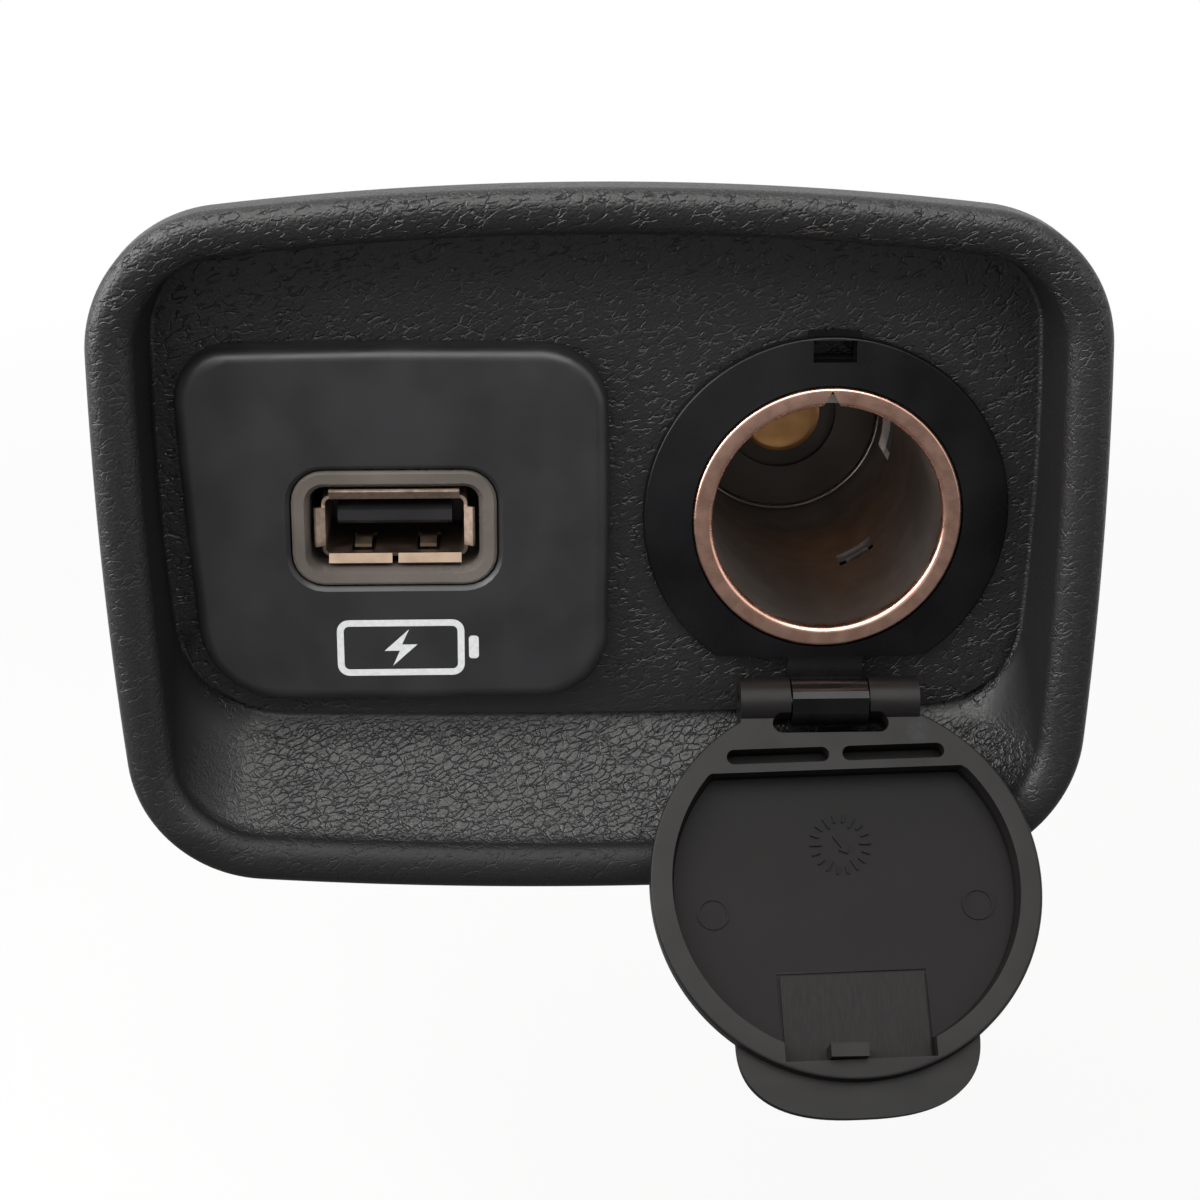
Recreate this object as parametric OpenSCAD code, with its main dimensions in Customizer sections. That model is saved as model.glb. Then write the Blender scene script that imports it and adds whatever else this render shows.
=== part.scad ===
// Car console panel: a trim bezel with a charging port, a plug socket and the socket's hinged cap.
// Row frame: X to the right, Y into the panel, Z up, origin at the centre of the socket's mouth.
// Modules draw in the panel's own view (x right, y up, z out towards the user), and facing() turns them.

/* [Bezel] */
// Width between the straight runs of the left and right sides, at the top corners
bezel_w = 88.3; // [84:0.1:94]
// Height between the corner tangents of the top and the bottom
bezel_h = 61.6; // [60:0.1:66]
// Bezel centre, left of the socket axis
bezel_shift = 20.75; // [20:0.05:22]
// Bezel centre, below the socket axis
bezel_drop = 1.4; // [0.5:0.05:2]
// How far the left side leans in at its lower corner
bezel_lean = 1.4; // [0:0.1:2]
// Corner radius of the bezel
bezel_corner_r = 12.5; // [11:0.1:14]
// Radius of the lower right corner
bezel_low_right_r = 13.6; // [11:0.1:14]
// Rise of the top edge at its middle
crown_top = 1.9; // [0.5:0.1:3]
// Fall of the bottom edge at its middle
crown_low = 1.2; // [0.3:0.1:2]
// Swell of the left and right sides at their middle
crown_side = 0.45; // [0:0.05:1]
// Height of the rim's crest above the mouth of the socket
crest_h = 7.5; // [6.5:0.1:8.5]
// Height of the rim from the console surface to its crest
rim_h = 4.2; // [3:0.1:5]
// Distance from the outer edge to the inner edge of the rim
rim_w = 3.7; // [3:0.1:4.5]
// Depth of the tray from the rim's crest to its floor
tray_depth = 9.5; // [9:0.1:10]
// Distance from the outer edge of the bezel to the floor of the tray, at the top and the sides
tray_inset = 4.5; // [4.2:0.1:5.2]
// Height of the sloping ledge, from the bezel's lower edge to the floor of the tray
ledge_h = 13.3; // [12.5:0.1:13.8]
// Drop from the tray's floor to the foot of the sloping ledge
ledge_step = 1.2; // [0.6:0.1:1.6]
// Corner radius of the tray's floor above the ledge
floor_low_r = 8.5; // [6:0.1:10]
// Wall of the bezel
bezel_wall = 2.2; // [1.8:0.1:2.6]

/* [Spring clips] */
// Distance between the left and right clips
clip_pitch_x = 44; // [40:0.5:48]
// Middle of the clips, left of the socket axis
clip_shift = 20; // [19:0.5:21]
// Height of the upper clips above the socket axis
clip_top = 22.6; // [22:0.1:23.4]
// Distance of the lower clips below the socket axis
clip_low = 17.6; // [17.4:0.1:18]
// Width of a clip's post
post_w = 8; // [6:0.5:10]
// Thickness of a clip's post
post_t = 1.8; // [1.4:0.1:2.2]
// Length of a clip's post behind the bezel
post_len = 9; // [8:0.5:12]
// Thickness of the clip's spring strip
clip_t = 0.5; // [0.4:0.05:0.7]
// Outward spring of each leg of the clip
clip_spring = 1.6; // [1:0.1:2]

/* [Plug socket] */
// Bore radius of the metal barrel
bore_r = 10.5; // [10.3:0.05:10.7]
// Sheet thickness of the barrel
barrel_t = 0.8; // [0.6:0.05:1]
// Depth from the mouth to the insulator
barrel_depth = 38; // [36:0.5:42]
// Outer radius of the rolled lip
lip_r = 12.25; // [12.1:0.05:12.5]
// Depth of the rolled lip
lip_t = 0.9; // [0.7:0.05:1.1]
// Width of the seam notch in the lip, at the bore
notch_w = 2; // [1:0.1:3]
// Direction of the latch windows round the barrel, in degrees
latch_angle = -58.8; // [-65:0.1:-52]
// Arc of a latch window, in degrees
latch_arc = 20.5; // [18:0.5:24]
// Depth of the latch windows behind the mouth
latch_depth = 16.1; // [15:0.1:18]
// Height of a latch window along the barrel
latch_h = 3.1; // [2.5:0.1:4]
// Arc of a side window, in degrees
vent_arc = 30; // [20:1:36]
// Depth of the side windows behind the mouth
vent_depth = 29; // [28:0.1:30]
// Height of a side window along the barrel
vent_h = 6; // [4:0.1:6.5]
// Radius of the centre contact
contact_r = 4.2; // [3.5:0.1:4.8]
// Radius of the well round the centre contact
well_r = 5.9; // [5.2:0.1:6.5]
// Thickness of the insulator
insulator_t = 1.8; // [1.5:0.1:2.4]

/* [Socket ring] */
// Radius of the ring round the mouth
ring_r = 16.75; // [16.5:0.05:17.2]
// Distance of the ring's flat lower edge from the socket axis
ring_flat = 13.5; // [13.3:0.05:13.9]
// Slope of the ring's face, as its fall from the lip to its edge
ring_fall = 1.1; // [0.6:0.1:1.4]
// Wall of the sleeve round the barrel
sleeve_wall = 1.8; // [1.5:0.1:2]
// Length of the sleeve behind the mouth
sleeve_len = 25; // [24:0.5:27]
// Width of the catch window at the top of the ring
catch_w = 3.9; // [3:0.1:5]
// Height of the catch window
catch_h = 1.9; // [1.6:0.1:2]
// Middle of the catch window, right of the socket axis
catch_shift = 0.2; // [0:0.1:0.6]

/* [Cap and hinge] */
// Distance of the hinge axis below the socket axis
hinge_drop = 17.2; // [17:0.05:17.6]
// Height of the hinge axis above the mouth of the socket
hinge_h = 1.5; // [1.3:0.05:1.8]
// Middle of the hinge, right of the socket axis
hinge_shift = 0.4; // [0:0.1:0.6]
// Width of the hinge's middle knuckle
knuckle_w = 7; // [6:0.1:8]
// Width of each ear of the cap
ear_w = 4.6; // [4:0.1:5]
// Radius of the hinge ears
ear_r = 2.3; // [2:0.05:2.4]
// Radius of the hinge pin
pin_r = 0.8; // [0.6:0.05:1]
// Angle between the open cap and straight down, in degrees
open_lean = 40.3; // [40:0.1:44]
// Radius of the cap
cap_r = 17.65; // [17.4:0.05:18]
// Thickness of the cap
cap_t = 3.3; // [3:0.1:3.6]
// Width of the cap's rim round its pocket
cap_rim = 2.15; // [1.8:0.05:2.6]
// Skin of the cap over its pocket
cap_skin = 1.2; // [1:0.1:1.6]
// Gap between the closed cap and the lip of the barrel
cap_gap = 0.3; // [0.2:0.05:0.5]
// Length of the grip beyond the cap's edge
grip_len = 3.3; // [2:0.1:4.5]
// Width of the grip where it leaves the cap
grip_w = 21.4; // [18:0.2:24]

/* [Charging port] */
// Distance of the port left of the socket axis
port_shift = 39.25; // [39:0.05:39.6]
// Distance of the port below the socket axis
port_drop = 0.35; // [0:0.05:0.6]
// Width of the port's face plate
plate_w = 38.6; // [38:0.1:39]
// Height of the port's face plate
plate_h = 33.1; // [32.6:0.1:33.4]
// Height of the face plate above the tray's floor
plate_t = 2.8; // [2.4:0.1:3.2]
// Corner radius of the face plate
plate_r = 6; // [4:0.1:7]
// How far the plate's left side leans in at its lower corner
plate_lean = 1.2; // [0:0.1:2]
// Rounding of the plate's front edge
plate_round = 1.3; // [0.8:0.1:1.6]
// Width of the light ring
light_w = 18.4; // [17.8:0.1:19]
// Height of the light ring
light_h = 10.7; // [10.2:0.1:11.2]
// Corner radius of the light ring
light_r = 2.9; // [2.4:0.1:3.4]
// Width of the light ring's wall
light_wall = 1.6; // [1.3:0.05:1.7]
// Inner width of the receptacle's metal shell
shell_w = 12.5; // [12.4:0.05:12.6]
// Inner height of the receptacle's metal shell
shell_h = 5.12; // [5.0:0.02:5.2]
// Sheet thickness of the shell
shell_t = 0.3; // [0.25:0.01:0.35]
// Length of the shell behind its mouth
shell_len = 14; // [13:0.5:16]
// Length of the flared lips round the mouth
flare = 0.9; // [0.6:0.05:1]
// Width of the tongue
tongue_w = 10.3; // [10:0.05:10.6]
// Thickness of the tongue
tongue_t = 1.84; // [1.7:0.02:1.9]
// Gap over the tongue
tongue_gap = 0.75; // [0.6:0.05:0.9]
// Width of the port's rear housing
housing_w = 33; // [31:0.5:34]
// Height of the port's rear housing
housing_h = 25; // [24:0.5:26]
// Wall of the rear housing
housing_wall = 1.6; // [1.2:0.1:2]
// Free depth behind the circuit board
board_back = 7; // [6.5:0.5:9]
// Thickness of the circuit board
board_t = 1.6; // [1.2:0.1:2]

/* [Hidden] */

// Clearances
slip = 0.15;
touch = 0.02;
pin_play = 0.05;
through = 1;
steps = 96;

// Bezel outline: corner centres in the order top left, top right, low right, low left
bezel_left = -bezel_shift - bezel_w / 2;
bezel_right = -bezel_shift + bezel_w / 2;
bezel_top = -bezel_drop + bezel_h / 2;
bezel_low = -bezel_drop - bezel_h / 2;
bezel_radii = [bezel_corner_r, bezel_corner_r, bezel_low_right_r, bezel_corner_r];
bezel_crowns = [crown_top, crown_side, crown_low, crown_side];
bezel_corners = corner_centres(bezel_left, bezel_right, bezel_top, bezel_low, bezel_lean, bezel_radii);
floor_z = crest_h - tray_depth;
floor_low = bezel_low + ledge_h;
floor_top_r = bezel_corner_r - tray_inset;
floor_radii = [floor_top_r, floor_top_r, floor_low_r, floor_low_r + 1];
floor_crowns = [crown_top, crown_side, crown_low / 3, crown_side];
floor_corners = corner_centres(bezel_left + tray_inset, bezel_right - tray_inset, bezel_top - tray_inset,
    floor_low, bezel_lean * 0.5, floor_radii);
seat_z = crest_h - rim_h;
back_z = floor_z - ledge_step - bezel_wall;
seat_w = 1.9;

// Plug socket
barrel_r = bore_r + barrel_t;
sleeve_in = barrel_r + slip;
sleeve_r = sleeve_in + sleeve_wall;
insulator_face = -barrel_depth;
lip_round = 0.5;
lip_edge = 0.3;
base_step = 0.4;
seat_r = bore_r - base_step;
base_hole_r = well_r - 0.9;
base_in = insulator_face - insulator_t;
base_out = base_in - barrel_t;
terminal_t = 0.8;
blade_w = 6.3;
blade_len = 13;
plate_back = base_out - terminal_t;
neck_r = base_hole_r - 0.4;
shank_r = 1.5;
rivet_r = 2.3;
rivet_t = 0.6;
positive_y = 2.6;
negative_y = -neck_r - 1.8;
cover_r = barrel_r + slip + 1.3;
cover_skirt = 4.5;
cover_t = 3.4;
shroud_wall = 1.4;
shroud_in_w = blade_w + 2.6;
shroud_top = positive_y + terminal_t + 2;
shroud_low = negative_y - terminal_t - 2;
shroud_len = blade_len + 0.6;

// Snap tongues of the sleeve
snap_angles = [24, 156, 204, 336];
snap_w = 4.6;
snap_len = 8;
slot_w = 0.8;
snap_tip = back_z - slip;
barb_out = 1.2;
barb_len = 4;

// Latch fingers of the sleeve, which hook into the barrel's latch windows
latch_angles = [latch_angle, latch_angle + 180];
latch_w = 2.5;
latch_gap = 1.8;
latch_tip = -latch_depth - 0.3;
latch_foot = latch_tip - 6;
hook_in = 0.45;
hook_h = 2.4;

// Ring of the sleeve
lip_seat_r = lip_r + slip;
ring_edge = 0.35;
ring_face = -0.2;
catch_top = sqrt(pow(ring_r, 2) - pow(catch_w / 2, 2)) - 0.3;
lug_w = catch_w + 0.8;

// Cap, drawn closed with its hinge axis on the x axis and its centre up the y axis
cap_reach = hinge_drop + 0.2;
cap_in = cap_gap - hinge_h;
cap_out = cap_in + cap_t;
cap_edge_r = 1.3;
pocket_r = cap_r - cap_rim;
pocket_z = cap_out - cap_skin;
pocket_flat = 6.9;
knuckle_gap = 0.15;
oval_h = 1.8;
oval_w = knuckle_w + 3.7;
oval_y = 2.45;
slit_w = 9.4;
slit_h = 1.4;
slit_y = 5.4;
slit_web = 1.2;
mark_r = 1.45;
mark_h = 0.15;
mark_x = 7.4;
mark_y = 3.35;
dimple_x = 12;
dimple_y = 2;
patch_w = 14.2;
patch_y = 7;
patch_t = 0.25;
hook_w = catch_w - 0.6;
hook_len = 1.1;
hook_t = catch_h - 0.7;
ear_x = knuckle_w / 2 + knuckle_gap;
grip_low = 0.1;
open_turn = 180 - open_lean;

// Charging port
port_x = -port_shift;
port_y = -port_drop;
plate_front = floor_z + plate_t;
plate_radii = [plate_r - 1, plate_r, plate_r, plate_r + 1.5];
plate_crowns = [0.15, 0.1, 0.15, 0.1];
plate_corners = corner_centres(port_x - plate_w / 2, port_x + plate_w / 2, port_y + plate_h / 2,
    port_y - plate_h / 2, plate_lean, plate_radii);
shell_front = plate_front - 1.1;
shell_back = shell_front - shell_len;
board_front = shell_back - 0.6;
board_back_z = board_front - board_t;
housing_end = board_back_z - board_back - housing_wall;
shell_out_w = shell_w + 2 * shell_t;
shell_out_h = shell_h + 2 * shell_t;
finger_w = 1.5;
finger_x = 2.95;
leg_h = 2.2;
light_front = plate_front - 0.12;
collar_t = 1;
contact_x = [-3.5, -1, 1, 3.5];
contact_w = 1;
contact_t = 0.25;
tongue_top = shell_h / 2 - tongue_gap;
tongue_low = tongue_top - tongue_t;
board_w = housing_w - 2 * housing_wall - 0.4;
board_h = housing_h - 2 * housing_wall - 0.4;
led_size = [2, 1.2, 0.8];
guide_back = board_front + led_size[2] + 0.1;
coil_r = 3.4;
coil_h = 5;
coil_x = -10.4;
coil_y = 3.6;
can_r = 3;
can_h = 6;
can_x = -8.8;
can_y = -5.6;
header_w = 15;
header_h = 8.4;
header_wall = 1.2;
header_floor = 4;
header_len = board_back + housing_wall + 9;
header_x = 4;
header_y = -6.2;
pin_pitch = 2.54;
pin_w = 0.64;
pin_tail = 1.2;
frame_t = 1.2;
frame_len = 2.6;
frame_w = housing_w - 2 * housing_wall - 2 * slip;
frame_h = housing_h - 2 * housing_wall - 2 * slip;
hook_span = 7;
post_side = 3;

// Turns a panel view (z towards the user) into the row frame
module facing() {
    rotate([90, 0, 0]) children();
}

function direction(angle) = [cos(angle), sin(angle)];

// Points of an arc from one angle to another
function arc(centre, r, from, to, n) = [
    for (i = [0:n]) centre + r * direction(from + (to - from) * i / n)
];

// Centres of the four corner circles of an upright outline whose left side leans in at the bottom
function corner_centres(left, right, top, low, lean, radii) = [
    [left + radii[0], top - radii[0]],
    [right - radii[1], top - radii[1]],
    [right - radii[2], low + radii[2]],
    [left + lean + radii[3], low + radii[3]]
];

// Outward unit normal of the straight run from corner circle a to corner circle b
function run_normal(a, b, ra, rb) =
    let (d = (b - a) / norm(b - a), s = (ra - rb) / norm(b - a))
    [-d[1], d[0]] * sqrt(1 - s * s) + d * s;

// Angle of that normal, and how far a crown tips it at the ends of the run
function run_angle(a, b, ra, rb) = let (n = run_normal(a, b, ra, rb)) atan2(n[1], n[0]);
function run_tip(a, b, crown) = atan(4 * crown / norm(b - a));

// Clockwise outline with four crowned sides and four round corners, shrunk by inset
function crowned_outline(corners, radii, crowns, inset, corner_n, side_n) = [
    for (k = [0:3])
        let (
            m = (k + 1) % 4,
            q = (k + 2) % 4,
            a = corners[k],
            b = corners[m],
            ra = radii[k] - inset,
            rb = radii[m] - inset,
            normal = run_normal(a, b, ra, rb),
            angle = run_angle(a, b, ra, rb),
            tip = run_tip(a, b, crowns[k]),
            next = run_angle(b, corners[q], rb, radii[q] - inset) + run_tip(b, corners[q], crowns[m]),
            turn = (angle - tip) - next,
            sweep = turn - 360 * floor(turn / 360),
            start = a + ra * direction(angle + tip),
            end = b + rb * direction(angle - tip)
        )
        each concat(
            [for (i = [0:side_n - 1]) let (t = i / side_n)
                start * (1 - t) + end * t + normal * 4 * crowns[k] * t * (1 - t)],
            [for (i = [0:corner_n - 1]) b + rb * direction(angle - tip - sweep * i / corner_n)]
        )
];

// Blend of two outlines with the same number of points
function mixed(a, b, t) = [for (i = [0:len(a) - 1]) a[i] * (1 - t) + b[i] * t];

// An outline lifted to one height
function lifted(outline, z) = [for (p = outline) [p[0], p[1], z]];

// Closed skin over clockwise rings, from the cap on the first to the cap on the last
module skin(rings) {
    n = len(rings[0]);
    m = len(rings);
    sides = [
        for (i = [0:m - 2], k = [0:n - 1])
            let (a = i * n + k, b = i * n + (k + 1) % n)
            each [[a, a + n, b + n], [a, b + n, b]]
    ];
    polyhedron(
        [for (ring = rings) each ring],
        concat([[for (k = [0:n - 1]) k]], sides, [[for (k = [n - 1:-1:0]) (m - 1) * n + k]])
    );
}

// Rounded rectangle of true arcs
module rounded_rect(w, h, r) {
    square([w - 2 * r, h], center = true);
    square([w, h - 2 * r], center = true);
    for (x = [-1, 1], y = [-1, 1])
        translate([x * (w / 2 - r), y * (h / 2 - r)]) circle(r, $fn = steps);
}

// Clockwise points of a rounded rectangle
function rounded_points(w, h, r, n) = crowned_outline(
    corner_centres(-w / 2, w / 2, h / 2, -h / 2, 0, [r, r, r, r]), [r, r, r, r], [0, 0, 0, 0], 0, n, 1);

// Part of a ring of wall between two radii and two heights, centred on an angle
module ring_sector(r_in, r_out, z_low, z_high, angle, arc) {
    rotate(angle - arc / 2)
        rotate_extrude(angle = arc, $fn = steps)
            translate([r_in, z_low]) square([r_out - r_in, z_high - z_low]);
}

function bezel_outline(inset) = crowned_outline(bezel_corners, bezel_radii, bezel_crowns, inset, 9, 6);
function floor_outline(inset) = crowned_outline(floor_corners, floor_radii, floor_crowns, inset, 9, 6);

// 1 along the lower edge of the tray's floor, fading to 0 up its sides
function lowness(p) = let (t = min(1, max(0, (floor_low + floor_low_r - p[1]) / floor_low_r))) t * t;

// Floor outline, pushed out by grow and dropped by fall where it borders the ledge
function floor_ring(grow, rise, fall) = [
    for (p = floor_outline(-grow)) [p[0], p[1], floor_z + rise - (fall + rise) * lowness(p)]
];

// Tray wall between its foot and the inner edge of the rim
function wall_ring(t) = let (
        foot = floor_outline(-1),
        edge = bezel_outline(rim_w + 0.3),
        low = floor_z + 0.7,
        high = crest_h - 1.6
    ) [
        for (i = [0:len(foot) - 1])
            let (
                k = lowness(foot[i]),
                z0 = low - (ledge_step + 0.7) * k,
                sag = 4 * t * (1 - t) * 0.55 * k
            )
            [foot[i][0] * (1 - t) + edge[i][0] * t, foot[i][1] * (1 - t) + edge[i][1] * t,
                z0 * (1 - t) + high * t - sag]
    ];

// Rim section: inset from the outer edge, height below the crest
rim_section = [
    for (a = [20:20:160])
        let (half = rim_w / 2) [half + half * cos(a) * 0.98, (1 - sin(a)) * 1.75]
];

module bezel_skin() {
    skin(concat(
        [floor_ring(0, 0, 0), floor_ring(0.12, 0, ledge_step), floor_ring(0.6, 0.2, ledge_step)],
        [for (t = [0:0.2:1]) wall_ring(t)],
        [for (s = rim_section) lifted(bezel_outline(s[0]), crest_h - s[1])],
        [lifted(bezel_outline(0), crest_h - 2.6),
            lifted(bezel_outline(0), seat_z),
            lifted(bezel_outline(seat_w), seat_z),
            lifted(mixed(bezel_outline(seat_w + 0.3), floor_outline(-bezel_wall - 0.5), 0.5),
                (seat_z + back_z) / 2),
            lifted(floor_outline(-bezel_wall), back_z)]
    ));
}

module clip_post() {
    translate([-post_w / 2, -post_t / 2, back_z - post_len]) cube([post_w, post_t, post_len + 0.5]);
    for (x = [-1, 0, 1])
        translate([x * (post_w / 2 - 0.6) - 0.6, -post_t / 2 - 0.9, back_z - 2])
            cube([1.2, post_t + 1.8, 2.5]);
}

clip_places = [
    for (y = [clip_top, -clip_low], x = [-1, 1]) [-clip_shift + x * clip_pitch_x / 2, y]
];

// Key that stops the sleeve from turning in the bezel
key_w = 3;
key_out = 1;

module bezel() color([0.13, 0.13, 0.13]) facing() {
    difference() {
        union() {
            bezel_skin();
            for (p = clip_places) translate(p) clip_post();
        }
        translate([0, 0, back_z - through])
            cylinder(r = sleeve_r + slip, h = floor_z - back_z + 2 * through, $fn = steps);
        translate([-key_w / 2 - slip, 0, back_z - through])
            cube([key_w + 2 * slip, sleeve_r + key_out + 2 * slip, floor_z - back_z + 2 * through]);
        translate([port_x - housing_w / 2 - slip, port_y - housing_h / 2 - slip, back_z - through])
            cube([housing_w + 2 * slip, housing_h + 2 * slip, floor_z - back_z + 2 * through]);
    }
}

// One leg of a folded spring clip, as points from its fold to its end
clip_top_z = back_z - post_len - 0.2;
function clip_leg(side, out) = [
    [side * (post_t / 2 + 0.1 + out), clip_top_z - out],
    [side * (post_t / 2 + 0.5 + clip_spring + out * 1.2), clip_top_z + 4.2],
    [side * (post_t / 2 + 0.6 + out), clip_top_z + 6.6]
];
function back_to_front(points) = [for (i = [len(points) - 1:-1:0]) points[i]];

module panel_clip(place) color([0.62, 0.62, 0.6]) facing() translate(place) {
    rotate([90, 0, 90]) translate([0, 0, -post_w / 2 + 0.5])
        linear_extrude(post_w - 1)
            polygon(concat(back_to_front(clip_leg(-1, clip_t)), clip_leg(1, clip_t),
                back_to_front(clip_leg(1, 0)), clip_leg(-1, 0)));
}

// Section of the sleeve: radius across, height up
module sleeve_section() {
    polygon(concat(
        [[sleeve_in, -sleeve_len], [sleeve_r - 0.5, -sleeve_len], [sleeve_r, -sleeve_len + 1],
            [sleeve_r, floor_z], [ring_r, floor_z]],
        arc([ring_r - ring_edge, ring_face - ring_fall], ring_edge, 0, 75, 4),
        [[lip_seat_r, ring_face], [lip_seat_r, -lip_t - touch], [sleeve_in, -lip_t - touch]]
    ));
}

// U-shaped slot through the sleeve's wall that frees a tongue of width w, with gap beside it
module tongue_slot(angle, w, gap, foot, tip, front) {
    inner = w / 2;
    outer = inner + gap;
    rotate(angle) translate([sleeve_in - through, 0, 0]) rotate([90, 0, 90])
        linear_extrude(sleeve_wall + 2 * through)
            polygon([[-outer, foot], [-outer, front], [outer, front], [outer, foot],
                [inner, foot], [inner, tip], [-inner, tip], [-inner, foot]]);
}

// Barb or hook on a tongue of width w, from its section of radius across and height up
module on_tongue(angle, w, section) {
    rotate(angle) rotate([90, 0, 0]) translate([0, 0, -w / 2]) linear_extrude(w) polygon(section);
}

// Barb behind the bezel, and hook into the barrel's latch window
snap_section = [[sleeve_r - 0.7, snap_tip], [sleeve_r + barb_out, snap_tip],
    [sleeve_r + barb_out, snap_tip - 0.7], [sleeve_r - 0.7, snap_tip - barb_len]];
hook_section = [[sleeve_in + 0.5, latch_tip - hook_h - 1], [sleeve_in + 0.5, latch_tip],
    [bore_r + hook_in, latch_tip], [bore_r + hook_in, latch_tip - hook_h]];

// Middle knuckle of the hinge: a nose from the ring's lower edge, round the pin
module knuckle() {
    nose = hinge_h + ear_r + 0.05;
    top = -hinge_drop + 1.75;
    translate([hinge_shift - knuckle_w / 2, 0, 0]) rotate([90, 0, 90]) linear_extrude(knuckle_w) {
        polygon([[-ring_flat + 0.8, floor_z], [-ring_flat + 0.8, floor_z + 0.6], [-ring_flat - 0.1, floor_z + 0.8],
            [top + 0.7, floor_z + 1], [top, nose - 0.5], [top - 0.5, nose], [-hinge_drop - 0.3, nose],
            [-hinge_drop - 1.3, floor_z + 1], [-hinge_drop - 0.5, floor_z]]);
        translate([-hinge_drop, hinge_h]) circle(ear_r, $fn = steps);
    }
}

module socket_sleeve() color([0.1, 0.1, 0.1]) facing() {
    difference() {
        union() {
            difference() {
                rotate_extrude($fn = steps) sleeve_section();
                translate([-ring_r - through, -ring_r - through, floor_z - through / 2])
                    cube([2 * ring_r + 2 * through, ring_r + through - ring_flat, plate_t + through]);
            }
            intersection() {
                rotate_extrude($fn = steps)
                    translate([ring_r - 1, floor_z]) square([1.45, 0.75]);
                translate([catch_shift - lug_w / 2, 0, floor_z]) cube([lug_w, ring_r + 2, 2]);
            }
            translate([-key_w / 2, sleeve_r - 0.5, back_z]) cube([key_w, key_out + 0.5, floor_z - back_z + 0.2]);
            knuckle();
        }
        translate([catch_shift - catch_w / 2, catch_top - catch_h, floor_z - through])
            cube([catch_w, catch_h, plate_t + 2 * through]);
        for (a = snap_angles) tongue_slot(a, snap_w, slot_w, snap_tip - snap_len, snap_tip, snap_tip + slot_w);
        for (a = latch_angles)
            tongue_slot(a, latch_w, latch_gap, latch_foot, latch_tip, latch_tip + latch_gap);
        translate([hinge_shift, -hinge_drop, hinge_h]) rotate([0, 90, 0])
            cylinder(r = pin_r + pin_play, h = knuckle_w + 2 * through, center = true, $fn = steps);
    }
    for (a = snap_angles) on_tongue(a, snap_w, snap_section);
    for (a = latch_angles) on_tongue(a, latch_w, hook_section);
}

// Section of the barrel: rolled lip, wall and base
module barrel_section() {
    polygon(concat(
        [[base_hole_r, base_in], [seat_r, base_in], [seat_r, insulator_face - base_step],
            [bore_r, insulator_face]],
        arc([bore_r + lip_round, -lip_round], lip_round, 180, 90, 5),
        arc([lip_r - lip_edge, -lip_edge], lip_edge, 90, 0, 3),
        [[lip_r, -lip_t], [barrel_r, -lip_t], [barrel_r, base_out + 0.6], [barrel_r - 0.6, base_out],
            [base_hole_r, base_out]]
    ));
}

module socket_barrel() color([0.75, 0.68, 0.64]) facing() {
    difference() {
        rotate_extrude($fn = steps) barrel_section();
        translate([0, 0, -1.6]) linear_extrude(1.6 + through)
            polygon([[-notch_w / 2, bore_r - 0.4], [0, lip_r - 0.25], [notch_w / 2, bore_r - 0.4]]);
        for (a = latch_angles)
            ring_sector(bore_r - through, barrel_r + through, -latch_depth - latch_h, -latch_depth, a, latch_arc);
        for (a = [0, 180])
            ring_sector(bore_r - through, barrel_r + through, -vent_depth - vent_h, -vent_depth, a, vent_arc);
    }
}

module barrel_insulator() color([0.16, 0.16, 0.16]) facing() {
    difference() {
        union() {
            translate([0, 0, base_in]) cylinder(r = seat_r - touch, h = insulator_t, $fn = steps);
            translate([0, 0, plate_back]) cylinder(r = neck_r, h = base_in - plate_back + 0.1, $fn = steps);
        }
        translate([0, 0, insulator_face - 0.7]) cylinder(r = well_r, h = 0.7 + through, $fn = steps);
        translate([0, 0, plate_back - through])
            cylinder(r = shank_r + touch, h = insulator_t + barrel_t + terminal_t + 2 * through, $fn = steps);
    }
}

module centre_contact() color([0.72, 0.45, 0.2]) facing() {
    rotate_extrude($fn = steps)
        polygon([[0, insulator_face - 0.15], [contact_r - 0.6, insulator_face], [contact_r, insulator_face - 0.25],
            [contact_r, insulator_face - 0.7], [shank_r, insulator_face - 0.7],
            [shank_r, plate_back - terminal_t], [rivet_r, plate_back - terminal_t],
            [rivet_r - 0.3, plate_back - terminal_t - rivet_t], [0, plate_back - terminal_t - rivet_t]]);
}

// Quick-fit blade with a pointed end and a detent hole, lying flat, drawn along -z from z = 0
module blade() {
    difference() {
        rotate([90, 0, 0]) translate([0, 0, -terminal_t]) linear_extrude(terminal_t)
            polygon([[-blade_w / 2, 0], [-blade_w / 2, -blade_len + 1.5], [-blade_w / 2 + 1.2, -blade_len],
                [blade_w / 2 - 1.2, -blade_len], [blade_w / 2, -blade_len + 1.5], [blade_w / 2, 0]]);
        translate([0, -through, -blade_len + 4.5]) rotate([-90, 0, 0])
            cylinder(r = 0.9, h = terminal_t + 2 * through, $fn = steps);
    }
}

module positive_terminal() color([0.78, 0.76, 0.7]) facing() {
    translate([0, 0, plate_back - terminal_t]) linear_extrude(terminal_t) difference() {
        union() {
            circle(positive_y + terminal_t, $fn = steps);
            translate([-blade_w / 2, 0]) square([blade_w, positive_y + terminal_t]);
        }
        circle(shank_r + touch, $fn = steps);
    }
    translate([0, positive_y, plate_back - terminal_t / 2]) blade();
}

module negative_terminal() color([0.78, 0.76, 0.7]) facing() {
    translate([0, 0, plate_back]) linear_extrude(terminal_t) difference() {
        intersection() {
            circle(barrel_r - 0.7, $fn = steps);
            translate([-blade_w / 2 - 1, -barrel_r]) square([blade_w + 2, barrel_r + 1]);
        }
        circle(neck_r + 0.6, $fn = steps);
    }
    translate([0, negative_y - terminal_t, plate_back + terminal_t / 2]) blade();
}

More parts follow.
